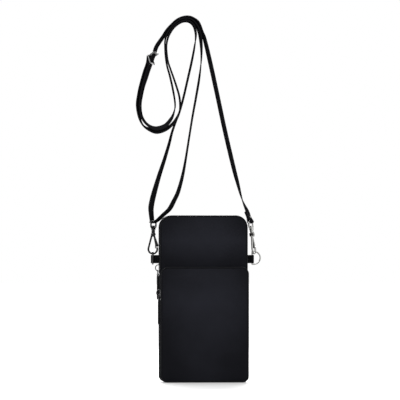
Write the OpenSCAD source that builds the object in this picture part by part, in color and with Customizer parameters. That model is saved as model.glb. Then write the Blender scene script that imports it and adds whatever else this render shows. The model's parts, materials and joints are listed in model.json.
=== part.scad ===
// Slim phone pouch on a long webbing strap, hanging from the top of the strap.
// X runs to the right, Y away from the viewer and Z up. The origin is the inner face of the
// strap where it hangs.

/* [Pouch] */
// Width over the side seams
bag_w = 98; // [80:1:120]
// Height over the top and bottom seams
bag_h = 185; // [160:1:220]
// Depth of the main compartment
main_d = 22; // [18:1:30]
// Depth of the front pocket
pocket_d = 16; // [13:1:24]
// Height of the front pocket
pocket_h = 128; // [105:1:140]
// Corner radius at the top of the main compartment
top_r = 13.5; // [8:0.5:20]
// Corner radius at the top of the front pocket
pocket_r = 8; // [5:0.5:12]
// Corner radius at the bottom
bottom_r = 7; // [4:0.5:12]

/* [Cloth] */
// Thickness of the outer cloth
cloth_t = 0.8; // [0.5:0.1:1.2]
// Thickness of the padding in the back
pad_t = 1.6; // [1:0.1:2.5]
// Thickness of the lining
lining_t = 0.4; // [0.2:0.1:0.6]
// Radius of the rolled seams
roll_r = 1; // [0.8:0.1:1.4]

/* [Zips] */
// Thickness of a zip tape
tape_t = 0.6; // [0.4:0.1:0.8]
// Width of one row of zip teeth
chain_w = 1.5; // [1:0.1:2]
// Thickness of the zip teeth
chain_t = 1.4; // [1:0.1:1.8]
// Length of a slider
slider_len = 8.2; // [6.5:0.1:10]
// Width of a slider
slider_w = 7; // [5.5:0.1:8.5]
// How far the bail stands off its slider
bail_out = 4.4; // [3.5:0.1:5.5]
// Length of a pull link between its bars
link_len = 5; // [4:0.1:6.5]
// Length of a pull tab
pull_len = 29; // [22:0.5:36]
// Width of a pull tab
pull_w = 4.6; // [3.6:0.1:6]
// Thickness of a pull tab
pull_t = 2.2; // [1.6:0.1:2.6]

/* [Hardware] */
// Width of the webbing of the side tabs
tab_w = 9.2; // [7.5:0.1:12]
// Height of the side tabs' centre over the bottom seam
tab_h = 136.3; // [112:0.1:165]
// How far the rings' bars stand off the side seams
bar_out = 6.6; // [5:0.1:8]
// Wire of the side rings
ring_wire = 1.6; // [1.3:0.1:2]
// Length of the rings' straight arms
ring_arm = 2; // [1.2:0.1:3]
// Length of a snap hook from its eye to its bend
hook_len = 38; // [32:0.5:46]
// Width of a snap hook
hook_w = 12; // [11:0.1:12.6]
// Wire of a snap hook
hook_wire = 2.1; // [1.7:0.1:2.5]
// Wire of a snap hook's eye
eye_wire = 1.8; // [1.5:0.1:2.2]
// Height of the opening in a snap hook's eye
eye_h = 5.2; // [4.4:0.1:6.2]

/* [Strap] */
// Width of the webbing
strap_w = 10; // [8:0.5:12]
// Thickness of the webbing
strap_t = 1.3; // [1:0.1:1.5]
// Rise of the strap over the top of the pouch
strap_rise = 215; // [178:1:256]
// Length of the adjuster buckle along the strap
buckle_len = 14; // [12:0.1:17]
// Wire of the adjuster buckle
buckle_wire = 1.6; // [1.3:0.1:2]

/* [Hidden] */
// Clearances and overruns that many pieces share
seam_gap = 0.05;
play = 0.3;
run_gap = 0.05;
overrun = 1;

// Places in the pouch, from its bottom seam up and from its tabs' plane back
front_y = roll_r - main_d;
pocket_y = front_y - pocket_d;
band_in = roll_r;
band_mid = band_in + cloth_t;
tape_in = band_mid - tape_t;
panel_in = 2 * roll_r + seam_gap;
chain_in = band_mid + play + cloth_t / 2 - chain_t;
fold_gap = 0.15;
fold_over = 3.5;
fold_rise = 11.5;
fold_l = pocket_h + fold_over;
fold_r = fold_l + fold_rise;
zip_under = 13;
zip_under_r = 6.5;
zip_l = fold_l - zip_under;
zip_r = fold_r - zip_under_r;
pocket_fold = pocket_h * 13 / 16;
pocket_zip = pocket_fold - zip_under;
main_zip_y = (roll_r + front_y) / 2;
pocket_zip_y = (front_y + pocket_y) / 2;
chain_gap = 0.5;
stop_h = 2;
stop_t = 0.7;
lining_drop = 1.5;
lining_in = panel_in + play;
bag_x_share = 0.18;
ring_gap = bag_w + 2 * bar_out;
bag_x = ring_gap * bag_x_share;
bag_z = -(strap_rise + bag_h);

// Sliders and pulls
plate_t = 0.9;
post_w = 0.5;
slide_gap = 0.25;
bail_r = 0.5;
slider_drop = slider_len / 2 + 0.8;
main_slider_z = fold_l - slider_drop;
pocket_slider_z = pocket_fold - slider_drop;
plate_lo = play - band_in;
plate_hi = plate_lo + plate_t;
inner_hi = -chain_in - chain_t - slide_gap;
bail_bow = slider_len / 2 - bail_r - play / 2;
bail_leg = bail_out - bail_bow - bail_r;
link_r = 0.4;
link_w = 3.4;
link_out = link_r * 5 / 2;
link_x = plate_hi + bail_leg + link_out;
link_swing = bail_bow - bail_r - fold_gap - link_r;
link_z = -sqrt(link_swing * link_swing - link_out * link_out);
neck_w = link_w - 2 * link_r - 4 * run_gap;

// Rings and tabs
tab_t = cloth_t + lining_t;
bar_gap = 0.15;
hook_play = play * 3 / 2;
ring_in = tab_w + hook_wire + 4 * play;
ring_half = (ring_in + ring_wire) / 2;
ring_z = tab_h - tab_w / 2 - play + ring_in / 2;
ring_top = ring_z + ring_half;
tab_r = ring_wire / 2 + bar_gap + tab_t;
left_bar = [bag_x - ring_gap / 2, 0, bag_z + ring_z];
right_bar = [bag_x + ring_gap / 2, 0, bag_z + ring_z];

// Snap hooks, in their own frame: Z runs up the hook from the ring's wire, X across its bow
hook_off = (ring_wire + hook_wire) / 2 + play;
hook_bottom = -(ring_wire / 2 + hook_play + hook_wire);
hook_bow = (hook_w - hook_wire) / 2;
bow_z = hook_bottom + hook_w / 2;
hook_top = hook_bottom + hook_len;
eye_bar = hook_top - eye_wire / 2;
eye_low = eye_bar - eye_h - eye_wire;
eye_half = strap_w / 2 + play + eye_wire / 2;
eye_bend = eye_wire;
collar_r = 2.5;
collar_h = 3.5;
collar_top = eye_low + eye_wire / 2 + seam_gap;
collar_low = collar_top - collar_h;
shank_r = 1.2;
head_r = 1.9;
head_h = 1.1;
block_r = 2.6;
block_t = 4.4;
shoulder_r = 2;
shoulder_h = 3.6;
block_z = collar_low - fold_gap - shoulder_h - block_r / 2;
slot_t = 3;
gate_t = 1.7;
gate_x = 0.6;
pin_r = 0.6;
rivet_r = 0.95;
rivet_h = 0.4;
spring_r = 1.3;
nose_turn = 18;
gate_w = 1.9;
gate_reach = hook_w / 2 + 0.2;
left_lean = 1.5;
right_lean = 7;
left_turn = 30;
right_turn = 24;
body_turn = 90 - right_turn;
left_hook_at = [left_bar[0], -hook_off, bag_z + ring_top];
right_hook_at = [right_bar[0] + hook_off, 0, bag_z + ring_top];
left_eye = left_hook_at + eye_bar * [sin(left_lean), 0, cos(left_lean)];
right_eye = right_hook_at + eye_bar * [-sin(right_lean), 0, cos(right_lean)];

// The strap's route: shares of the rings' spacing, of the webbing's width and of the strap's
// fall, then the webbing's turn about the vertical and, where it isn't 0, its tilt out of the
// level, in degrees
right_leg_shares = [
    [0.579, 0, -0.917, 4], [0.532, 0, -0.828, -13], [0.487, 0, -0.739, -19],
    [0.4045, 0, -0.557, -20], [0.335, 0, -0.389, -20], [0.256, 0, -0.202, -20],
    [0.203, 0, -0.088, -17]];
outer_crown_shares = [
    [0.174, 0, -0.049, -14, -4], [0.138, 0, -0.001, -9, -8], [0.083, 0, 0.0215, -3, -10],
    [0.031, 0, 0.029, 0, -10], [-0.029, 0, 0.0245, 1, -10], [-0.085, 0, 0.0095, 5, -9],
    [-0.141, -0.02, -0.019, 11, -8], [-0.182, -0.08, -0.045, 16, -6],
    [-0.217, -0.2, -0.076, 22, -3], [-0.25, -0.36, -0.1, 26]];
run_top_shares = [-0.285, -0.5, -0.128, 27];
run_end_shares = [-0.371, -0.5, -0.256, 27];
inner_loop_shares = [
    [-0.391, -0.52, -0.29, 25], [-0.413, -0.55, -0.326, 22], [-0.431, -0.58, -0.365, 20],
    [-0.448, -0.6, -0.426, 17], [-0.434, -0.6, -0.486, 14, 8], [-0.381, -0.6, -0.528, 8, 13],
    [-0.298, -0.6, -0.55, 2, 24], [-0.205, -0.6, -0.538, 0, 25], [-0.143, -0.6, -0.504, -1, 24],
    [-0.109, -0.58, -0.465, 3, 13], [-0.098, -0.55, -0.422, 8], [-0.121, -0.48, -0.345, 11],
    [-0.15, -0.36, -0.277, 11], [-0.171, -0.28, -0.238, 10], [-0.184, -0.2, -0.205, 9],
    [-0.193, -0.12, -0.166, 8], [-0.197, -0.06, -0.124, 7]];
middle_crown_shares = [
    [-0.196, -0.02, -0.098, 7], [-0.183, 0, -0.07, 8, -3], [-0.145, 0, -0.037, 9, -6],
    [-0.095, 0, -0.008, 5, -9], [-0.037, 0, 0.0135, 1, -10], [0.027, 0, 0.0185, 0, -10],
    [0.081, 0, 0.0085, -3, -9], [0.121, 0, -0.016, -8, -7], [0.147, 0, -0.047, -13, -4],
    [0.161, 0, -0.08, -14]];
front_leg_shares = [
    [0.17, 0, -0.139, -6], [0.1665, 0, -0.208, 3], [0.1455, 0, -0.298, 12],
    [0.1125, 0, -0.397, 12], [0.0795, 0, -0.491, 11], [0.046, 0, -0.598, 10.5],
    [0.01, 0, -0.715, 13], [-0.019, -0.02, -0.793, 19], [-0.063, -0.08, -0.876, 26],
    [-0.109, -0.16, -0.927, 30], [-0.153, -0.26, -0.967, 32], [-0.212, -0.33, -0.996, 32],
    [-0.266, -0.35, -1.022, 31]];
rear_leg_shares = [
    [-0.335, -0.21, -0.99, 33], [-0.336, -0.2, -0.955, 37], [-0.313, -0.14, -0.898, 36],
    [-0.256, 0, -0.797, 28], [-0.2, 0.2, -0.71, 22], [-0.153, 0.4, -0.63, 17],
    [-0.119, 0.58, -0.565, 13], [-0.082, 0.7, -0.512, 11], [-0.05, 0.7, -0.47, 11],
    [-0.0105, 0.62, -0.397, 12], [0.0385, 0.36, -0.285, 12], [0.0755, 0.14, -0.197, 12]];
inner_crown_shares = [
    [0.1025, 0.03, -0.12, 8], [0.114, 0, -0.07, -3], [0.108, 0, -0.041, -5, -5],
    [0.095, 0, -0.02, -4, -8], [0.071, 0, -0.0035, -1, -10], [0.04, 0, 0.0055, 0, -10]];
after_apex_shares = [
    [-0.045, 0, -0.001, 1, -10], [-0.103, 0, -0.024, 5, -8], [-0.147, 0, -0.057, 8, -5],
    [-0.171, 0, -0.088, 9, -2], [-0.1815, -0.06, -0.124, 8]];
outer_loop_shares = [
    [-0.177, -0.12, -0.166, 8], [-0.166, -0.2, -0.205, 9], [-0.137, -0.3, -0.251, 10],
    [-0.097, -0.4, -0.311, 11], [-0.058, -0.5, -0.378, 11], [-0.048, -0.55, -0.425, 10],
    [-0.056, -0.58, -0.46, 5, 6], [-0.082, -0.6, -0.495, 1, 13], [-0.132, -0.6, -0.531, 0, 18],
    [-0.2, -0.6, -0.557, 0, 20], [-0.285, -0.6, -0.568, 2, 23], [-0.36, -0.6, -0.555, 5, 19],
    [-0.421, -0.6, -0.533, 8, 3], [-0.459, -0.6, -0.488, 14, 8], [-0.476, -0.58, -0.43, 18],
    [-0.461, -0.56, -0.373, 20], [-0.441, -0.55, -0.329, 23]];

// How far the shares' lower end lies over the bars of the hooks' eyes, and the strap's fall to it
eye_over = 6.55;
strap_fall = -(bag_z + ring_top + eye_bar + eye_over);

// A place on the strap from its shares
function given(value) = is_undef(value) ? 0 : value;
function place(s) =
    [s[0] * ring_gap, s[1] * strap_w, s[2] * strap_fall, given(s[3]), given(s[4])];
function places(list) = [for (s = list) place(s)];
function unit(v) = v / norm(v);
function xyz(p) = [p[0], p[1], p[2]];
function mix(a, b, share) = a + (b - a) * share;
// The webbing's cross axis at a turn and a tilt, square to its run
function cross_axis(turn, tilt, run) =
    let (h = [sin(turn), cos(turn), tan(tilt)]) unit(h - (h * run) * run);

// The straight run through the adjuster buckle, and places beside it
run_top = place(run_top_shares);
run_end = place(run_end_shares);
buckle_share = 0.44;
run_dir = unit(xyz(run_end) - xyz(run_top));
run_cross = cross_axis(run_top[3], 0, run_dir);
run_side = cross(run_cross, run_dir);
buckle_at = xyz(mix(run_top, run_end, buckle_share));
function beside(down, off) =
    let (p = buckle_at + down * run_dir + off * run_side) [p[0], p[1], p[2], run_top[3], 0];

// The strap's layers at the buckle's bar, and its two folds round the hooks' eyes
layer_gap = 0.2;
layer = strap_t + layer_gap;
bar_fold = buckle_wire / 2 + bar_gap + strap_t / 2;
flap_off = strap_t + play;
bar_off = flap_off + bar_fold;
end_bar_off = -(strap_t / 2 + play + buckle_wire / 2 + bar_gap);
flap_turn = 3.5;
flap_fold = 8;
flap_len = 9;
tail_len = 13;
tail_from = 18;
eye_fold = eye_wire / 2 + bar_gap + strap_t / 2;
rivet_up = 5;
end_flap = 12.4;
leg_dir = unit(xyz(place(right_leg_shares[0])) - right_eye);
right_across = [cos(right_turn), -sin(right_turn), 0];
leg_side = unit(right_across - (right_across * leg_dir) * leg_dir);
left_across = [cos(left_turn), -sin(left_turn), 0];
function at_right_eye(side, up) =
    let (p = right_eye + side * leg_side + up * leg_dir) [p[0], p[1], p[2], right_turn, 0];
function at_left_eye(turn) =
    let (p = left_eye + eye_fold * (cos(turn) * left_across + sin(turn) * [0, 0, 1]))
    [p[0], p[1], p[2], left_turn, 0];

right_fold = concat(
    [at_right_eye(-layer / 2, end_flap), at_right_eye(-layer / 2, end_flap * 3 / 4),
     at_right_eye(-layer / 2, rivet_up)],
    [for (turn = [180 : 45 : 360]) at_right_eye(eye_fold * cos(turn), eye_fold * sin(turn))],
    [at_right_eye(layer / 2, rivet_up), at_right_eye(layer / 2, end_flap)]);
left_fold = [for (turn = [-45 : -45 : -180]) at_left_eye(turn)];
tail = [beside(tail_from, layer + play + strap_t), beside(tail_len, layer + flap_off)];
tail_end = concat(
    [beside(flap_fold, layer + flap_off), beside(flap_turn, layer + flap_off + layer / 2)],
    [for (turn = [0 : 45 : 180]) beside(-bar_fold * sin(turn), bar_off + bar_fold * cos(turn))],
    [beside(flap_len / 2, flap_off), beside(flap_len, flap_off)]);

// The apex, whose lower edge hangs at the origin, with the crown's tilt
crown_tilt = 10;
apex = [0, 0, (strap_t + strap_w * sin(crown_tilt)) / 2, 0, -crown_tilt];

// The whole route, and where each stretch starts in it
stretches = [
    concat(right_fold, places(right_leg_shares)),
    concat(places(outer_crown_shares), [run_top, mix(run_top, run_end, 0.25),
        mix(run_top, run_end, 0.7), run_end]),
    places(inner_loop_shares),
    places(middle_crown_shares),
    concat(places(front_leg_shares), left_fold, places(rear_leg_shares)),
    concat(places(inner_crown_shares), [apex], places(after_apex_shares)),
    places(outer_loop_shares),
    tail,
    tail_end];
route = [for (s = stretches) each s];
function stretch_start(i, k = 0, n = 0) =
    k == i ? n : stretch_start(i, k + 1, n + len(stretches[k]));
ring_steps = 3;

// A smooth curve through a list of places, a few steps from each place to the next
function between(a, b, c, d, t) =
    (2 * b + (c - a) * t + (2 * a - 5 * b + 4 * c - d) * t * t
        + (3 * b - a - 3 * c + d) * t * t * t) / 2;
function curve(p, steps) = concat(
    [for (i = [0 : len(p) - 2]) for (k = [0 : steps - 1])
        between(p[max(i - 1, 0)], p[i], p[i + 1], p[min(i + 2, len(p) - 1)], k / steps)],
    [p[len(p) - 1]]);
strap_line = curve(route, ring_steps);
function strap_ring(i) =
    let (last = len(strap_line) - 1, p = strap_line[i],
         run = unit(xyz(strap_line[min(i + 1, last)]) - xyz(strap_line[max(i - 1, 0)])),
         across = cross_axis(p[3], p[4], run), w = across * strap_w / 2,
         t = cross(run, across) * strap_t / 2)
    [xyz(p) + w + t, xyz(p) - w + t, xyz(p) - w - t, xyz(p) + w - t];

// Puts the pouch's own frame, centred on its width and standing on its bottom seam, in place
module in_pouch() {
    translate([bag_x, 0, bag_z]) children();
}

// A flat shape of the XZ plane, from y = low to y = high
module upright(low, high) {
    translate([0, high, 0]) rotate([90, 0, 0]) linear_extrude(high - low) children();
}

// A panel's outline, drawn in from the seams by inset
module outline(inset, h, r) {
    half = bag_w / 2 - inset;
    top = h - inset;
    low_r = bottom_r - inset;
    high_r = r - inset;
    for (side = [-1, 1]) {
        translate([side * (half - low_r), inset + low_r]) circle(low_r, $fn = 64);
        translate([side * (half - high_r), top - high_r]) circle(high_r, $fn = 64);
    }
    translate([-half, inset + low_r]) square([2 * half, top - inset - low_r - high_r]);
    translate([low_r - half, inset]) square([2 * (half - low_r), top - inset - high_r]);
    translate([high_r - half, inset + low_r]) square([2 * (half - high_r), top - inset - low_r]);
}

module main_outline(inset) {
    outline(inset, bag_h, top_r);
}

module pocket_outline(inset) {
    outline(inset, pocket_h, pocket_r);
}

// The strip between two insets of an outline
module main_strip(outer, inner) {
    difference() {
        main_outline(outer);
        main_outline(inner);
    }
}

module pocket_strip(outer, inner) {
    difference() {
        pocket_outline(outer);
        pocket_outline(inner);
    }
}

// What lies under, or over, a line that is at height left and right on the two side seams
module under(left, right) {
    far = bag_w;
    fall = (right - left) / bag_w * (far - bag_w / 2);
    intersection() {
        children();
        polygon([[-far, -far], [far, -far], [far, right + fall], [-far, left - fall]]);
    }
}

module over(left, right) {
    far = bag_w;
    fall = (right - left) / bag_w * (far - bag_w / 2);
    intersection() {
        children();
        polygon([[-far, left - fall], [far, right + fall], [far, 2 * bag_h], [-far, 2 * bag_h]]);
    }
}

module under_main_fold() {
    under(fold_l - fold_gap, fold_r - fold_gap) children();
}

module over_main_fold() {
    over(fold_l + fold_gap, fold_r + fold_gap) children();
}

module under_pocket_fold() {
    under(pocket_fold - fold_gap, pocket_fold - fold_gap) children();
}

module over_pocket_fold() {
    over(pocket_fold + fold_gap, pocket_fold + fold_gap) children();
}

// The rolled seam of an outline, as a tube round its edge at depth y
module roll(y, h, r) {
    half = bag_w / 2 - roll_r;
    low_r = bottom_r - roll_r;
    high_r = r - roll_r;
    side_h = h - bottom_r - r;
    translate([0, y, 0]) {
        for (side = [-1, 1]) {
            translate([side * half, 0, bottom_r]) cylinder(side_h, roll_r, roll_r, $fn = 32);
            translate([side * (half - low_r), 0, bottom_r]) rotate([90, 0, side > 0 ? 0 : 180])
                rotate([0, 0, -90]) bend(low_r);
            translate([side * (half - high_r), 0, h - r]) rotate([90, 0, side > 0 ? 0 : 180])
                bend(high_r);
        }
        translate([low_r - half, 0, roll_r]) rotate([0, 90, 0])
            cylinder(2 * (half - low_r), roll_r, roll_r, $fn = 32);
        translate([high_r - half, 0, h - roll_r]) rotate([0, 90, 0])
            cylinder(2 * (half - high_r), roll_r, roll_r, $fn = 32);
    }
}

// A quarter turn of the rolled seam's tube, from the X axis to the Y axis
module bend(r) {
    rotate_extrude(angle = 90, $fn = 64) translate([r, 0]) circle(roll_r, $fn = 32);
}

// What a solid has under, or over, a fold line, cut through the whole depth
module keep_under(left, right) {
    intersection() {
        children();
        upright(pocket_y - overrun, roll_r + overrun) under(left, right) main_outline(-overrun);
    }
}

module keep_over(left, right) {
    intersection() {
        children();
        upright(pocket_y - overrun, roll_r + overrun) over(left, right) main_outline(-overrun);
    }
}

// Fixed pieces of the pouch
module back_panel() {
    color([0.12, 0.12, 0.14]) in_pouch() upright(roll_r - cloth_t, roll_r) main_outline(panel_in);
}

module back_padding() {
    color([0.75, 0.75, 0.72]) in_pouch()
        upright(roll_r - cloth_t - pad_t, roll_r - cloth_t - seam_gap) main_outline(lining_in);
}

module back_lining() {
    low = roll_r - cloth_t - pad_t - seam_gap - lining_t;
    color([0.2, 0.2, 0.22]) in_pouch() upright(low, low + lining_t) main_outline(lining_in);
}

module back_piping() {
    color([0.1, 0.1, 0.12]) in_pouch() roll(0, bag_h, top_r);
}

module main_gusset() {
    low = front_y + 2 * roll_r + seam_gap;
    tape_edge = main_zip_y - chain_gap - chain_w - seam_gap;
    color([0.11, 0.11, 0.13]) in_pouch() {
        upright(low, -roll_r - seam_gap) under(zip_l, zip_r) main_strip(band_in, band_mid);
        upright(low, tape_edge) under_main_fold() main_strip(band_in, band_mid);
    }
}

module main_gusset_lining() {
    low = front_y + 2 * roll_r + seam_gap;
    color([0.2, 0.2, 0.22]) in_pouch()
        upright(low + play, -2 * roll_r - pad_t) under(zip_l - lining_drop, zip_l - lining_drop)
            main_strip(band_mid + seam_gap, band_mid + seam_gap + lining_t);
}

module divider_panel() {
    color([0.12, 0.12, 0.14]) in_pouch()
        upright(front_y, front_y + cloth_t) under_main_fold() main_outline(panel_in);
}

module divider_lining() {
    low = front_y + cloth_t + seam_gap;
    color([0.2, 0.2, 0.22]) in_pouch()
        upright(low, low + lining_t) under_main_fold() main_outline(lining_in);
}

module main_front_piping() {
    color([0.1, 0.1, 0.12]) in_pouch() keep_under(fold_l - fold_gap, fold_r - fold_gap)
        roll(front_y + roll_r, bag_h, top_r);
}

module main_zip_tape_rear() {
    low = main_zip_y + chain_gap + chain_w + seam_gap;
    color([0.13, 0.13, 0.15]) in_pouch()
        upright(low, -roll_r - seam_gap) over(zip_l + seam_gap, zip_r + seam_gap)
            main_strip(tape_in, band_mid);
}

module main_zip_chain_rear() {
    color([0.16, 0.16, 0.18]) in_pouch() {
        upright(main_zip_y + chain_gap, main_zip_y + chain_gap + chain_w)
            over(zip_l + seam_gap, zip_r + seam_gap) main_strip(chain_in, chain_in + chain_t);
        upright(main_zip_y - chain_gap - chain_w, main_zip_y - chain_gap)
            over(zip_l + seam_gap, zip_r + seam_gap) under_main_fold()
                main_strip(chain_in, chain_in + chain_t);
    }
}

module pocket_gusset() {
    low = pocket_y + 2 * roll_r + seam_gap;
    high = front_y - seam_gap;
    tape_edge = pocket_zip_y - chain_gap - chain_w - seam_gap;
    color([0.11, 0.11, 0.13]) in_pouch() {
        upright(low, high) under(pocket_zip, pocket_zip) pocket_strip(band_in, band_mid);
        upright(low, tape_edge) under_pocket_fold() pocket_strip(band_in, band_mid);
    }
}

module pocket_panel() {
    color([0.12, 0.12, 0.14]) in_pouch()
        upright(pocket_y, pocket_y + cloth_t) under_pocket_fold() pocket_outline(panel_in);
}

module pocket_lining() {
    low = pocket_y + cloth_t + seam_gap;
    color([0.2, 0.2, 0.22]) in_pouch()
        upright(low, low + lining_t) under_pocket_fold() pocket_outline(lining_in);
}

module pocket_piping() {
    color([0.1, 0.1, 0.12]) in_pouch() keep_under(pocket_fold - fold_gap, pocket_fold - fold_gap)
        roll(pocket_y + roll_r, pocket_h, pocket_r);
}

module pocket_zip_tape_rear() {
    low = pocket_zip_y + chain_gap + chain_w + seam_gap;
    color([0.13, 0.13, 0.15]) in_pouch()
        upright(low, front_y - seam_gap) over(pocket_zip + seam_gap, pocket_zip + seam_gap)
            pocket_strip(tape_in, band_mid);
}

module pocket_zip_chain_rear() {
    color([0.16, 0.16, 0.18]) in_pouch() {
        upright(pocket_zip_y + chain_gap, pocket_zip_y + chain_gap + chain_w)
            over(pocket_zip + seam_gap, pocket_zip + seam_gap)
                pocket_strip(chain_in, chain_in + chain_t);
        upright(pocket_zip_y - chain_gap - chain_w, pocket_zip_y - chain_gap)
            over(pocket_zip + seam_gap, pocket_zip + seam_gap) under_pocket_fold()
                pocket_strip(chain_in, chain_in + chain_t);
    }
}

// The small clips that close each end of both zips, on the outside of the teeth
module zip_end_stops() {
    half_y = chain_gap + chain_w;
    color("silver") in_pouch() {
        for (spot = [[-1, zip_l, main_zip_y], [1, zip_r, main_zip_y],
                     [-1, pocket_zip, pocket_zip_y], [1, pocket_zip, pocket_zip_y]])
            translate([spot[0] * (bag_w / 2 - chain_in + stop_t / 2 + seam_gap), spot[2],
                spot[1] + stop_h / 2 + play])
                cube([stop_t, 2 * half_y, stop_h], center = true);
    }
}

// The main flap, which folds forward about its lower edge
module main_flap_panel() {
    color([0.12, 0.12, 0.14]) in_pouch()
        upright(front_y, front_y + cloth_t) over_main_fold() main_outline(panel_in);
}

module main_flap_lining() {
    low = front_y + cloth_t + seam_gap;
    color([0.2, 0.2, 0.22]) in_pouch()
        upright(low, low + lining_t) over_main_fold() main_outline(lining_in);
}

module main_flap_piping() {
    color([0.1, 0.1, 0.12]) in_pouch() keep_over(fold_l + fold_gap, fold_r + fold_gap)
        roll(front_y + roll_r, bag_h, top_r);
}

module main_zip_tape_front() {
    high = main_zip_y - chain_gap - chain_w - seam_gap;
    color([0.13, 0.13, 0.15]) in_pouch()
        upright(front_y + 2 * roll_r + seam_gap, high) over_main_fold() main_strip(tape_in, band_mid);
}

module main_zip_chain_front() {
    color([0.16, 0.16, 0.18]) in_pouch()
        upright(main_zip_y - chain_gap - chain_w, main_zip_y - chain_gap) over_main_fold()
            main_strip(chain_in, chain_in + chain_t);
}

// The front pocket's flap
module pocket_flap_panel() {
    color([0.12, 0.12, 0.14]) in_pouch()
        upright(pocket_y, pocket_y + cloth_t) over_pocket_fold() pocket_outline(panel_in);
}

module pocket_flap_lining() {
    low = pocket_y + cloth_t + seam_gap;
    color([0.2, 0.2, 0.22]) in_pouch()
        upright(low, low + lining_t) over_pocket_fold() pocket_outline(lining_in);
}

module pocket_flap_piping() {
    color([0.1, 0.1, 0.12]) in_pouch() keep_over(pocket_fold + fold_gap, pocket_fold + fold_gap)
        roll(pocket_y + roll_r, pocket_h, pocket_r);
}

module pocket_zip_tape_front() {
    high = pocket_zip_y - chain_gap - chain_w - seam_gap;
    color([0.13, 0.13, 0.15]) in_pouch()
        upright(pocket_y + 2 * roll_r + seam_gap, high) over_pocket_fold()
            pocket_strip(tape_in, band_mid);
}

module pocket_zip_chain_front() {
    color([0.16, 0.16, 0.18]) in_pouch()
        upright(pocket_zip_y - chain_gap - chain_w, pocket_zip_y - chain_gap) over_pocket_fold()
            pocket_strip(chain_in, chain_in + chain_t);
}

// Puts a slider's frame, with X out of the left side of the pouch, at depth y and height z
module at_slider(y, z) {
    in_pouch() translate([-bag_w / 2, y, z]) rotate([0, 0, 180]) children();
}

// A round bar between two points
module rod(a, b, r) {
    d = b - a;
    translate(a) rotate([0, acos(d[2] / norm(d)), atan2(d[1], d[0])])
        cylinder(norm(d), r, r, $fn = 32);
}

// A quarter turn of wire, from the Y axis to the Z axis of the YZ plane
module wire_bend(r, wire_r) {
    rotate([90, 0, 90]) rotate_extrude(angle = 90, $fn = 64) translate([r, 0])
        circle(wire_r, $fn = 32);
}

// A wire frame in the YZ plane with round corners, between the centres of its wires
module wire_frame(half_y, low, high, r, wire_r) {
    for (side = [-1, 1]) {
        rod([0, side * half_y, low + r], [0, side * half_y, high - r], wire_r);
        translate([0, side * (half_y - r), high - r]) rotate([0, 0, side > 0 ? 0 : 180])
            wire_bend(r, wire_r);
        translate([0, side * (half_y - r), low + r]) rotate([0, 180, side > 0 ? 0 : 180])
            wire_bend(r, wire_r);
    }
    for (z = [low, high])
        rod([0, r - half_y, z], [0, half_y - r, z], wire_r);
}

// A slider's plate in the YZ plane, narrow at the top where the teeth are closed
module plate_shape() {
    half = slider_w / 2;
    low = -slider_len / 2;
    corner = half / 3;
    for (side = [-1, 1]) {
        translate([side * (half - corner), low + corner]) circle(corner, $fn = 32);
        translate([side * (half * 2 / 3 - corner), -low - corner]) circle(corner, $fn = 32);
    }
    polygon([[corner - half, low], [half - corner, low], [half, low + corner],
        [half * 2 / 3, -low - corner], [half * 2 / 3 - corner, -low],
        [corner - half * 2 / 3, -low], [-half * 2 / 3, -low - corner], [-half, low + corner]]);
}

module slider() {
    for (low = [plate_lo, inner_hi - plate_t])
        translate([low, 0, 0]) rotate([90, 0, 90]) linear_extrude(plate_t) plate_shape();
    translate([inner_hi - overrun / 2, -post_w / 2, -slider_len / 2 + plate_t])
        cube([plate_lo - inner_hi + overrun, post_w, slider_len / 4]);
    for (end = [-1, 1])
        rod([plate_hi - plate_t / 2, 0, end * bail_bow], [plate_hi + bail_leg, 0, end * bail_bow],
            bail_r);
    translate([plate_hi + bail_leg, 0, 0]) rotate([90, 0, 0]) rotate([0, 0, -90])
        rotate_extrude(angle = 180, $fn = 64) translate([bail_bow, 0]) circle(bail_r, $fn = 32);
}

module pull_link() {
    translate([link_x, 0, link_z])
        wire_frame(link_w / 2, -link_len, 0, link_w / 4, link_r);
}

module pull_tab() {
    eye_r = neck_w / 2;
    shoulder = link_r * 2;
    foot = pull_len - eye_r;
    translate([link_x, 0, link_z - link_len]) difference() {
        translate([-pull_t / 2, 0, 0]) rotate([90, 0, 90]) linear_extrude(pull_t) {
            circle(eye_r, $fn = 48);
            polygon([[-eye_r, 0], [-eye_r, -shoulder], [-pull_w / 2, -pull_w / 2 - shoulder],
                [-pull_w / 2, pull_w / 2 - foot], [pull_w / 2, pull_w / 2 - foot],
                [pull_w / 2, -pull_w / 2 - shoulder], [eye_r, -shoulder], [eye_r, 0]]);
            translate([0, pull_w / 2 - foot]) circle(pull_w / 2, $fn = 48);
        }
        rotate([90, 0, 0]) cylinder(pull_w + overrun, link_r + fold_gap, link_r + fold_gap,
            center = true, $fn = 32);
    }
}

module main_zip_slider() {
    color("silver") at_slider(main_zip_y, main_slider_z) slider();
}

module main_pull_link() {
    color("silver") at_slider(main_zip_y, main_slider_z) pull_link();
}

module main_pull_tab() {
    color([0.15, 0.15, 0.16]) at_slider(main_zip_y, main_slider_z) pull_tab();
}

module pocket_zip_slider() {
    color("silver") at_slider(pocket_zip_y, pocket_slider_z) slider();
}

module pocket_pull_link() {
    color("silver") at_slider(pocket_zip_y, pocket_slider_z) pull_link();
}

module pocket_pull_tab() {
    color([0.15, 0.15, 0.16]) at_slider(pocket_zip_y, pocket_slider_z) pull_tab();
}

// A side tab of webbing folded round a ring's bar, which is on the Z axis; X runs outward
module side_tab() {
    reach = bar_out - seam_gap;
    bore = ring_wire / 2 + bar_gap;
    translate([0, 0, tab_h - ring_z]) difference() {
        union() {
            cylinder(tab_w, tab_r, tab_r, center = true, $fn = 48);
            linear_extrude(tab_w, center = true)
                polygon([[-reach, -tab_t], [0, -tab_r], [0, tab_r], [-reach, tab_t]]);
        }
        cylinder(tab_w + overrun, bore, bore, center = true, $fn = 48);
        linear_extrude(tab_w + overrun, center = true)
            polygon([[-reach * 2 / 3, 0], [0, -bore], [0, bore]]);
    }
}

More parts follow.
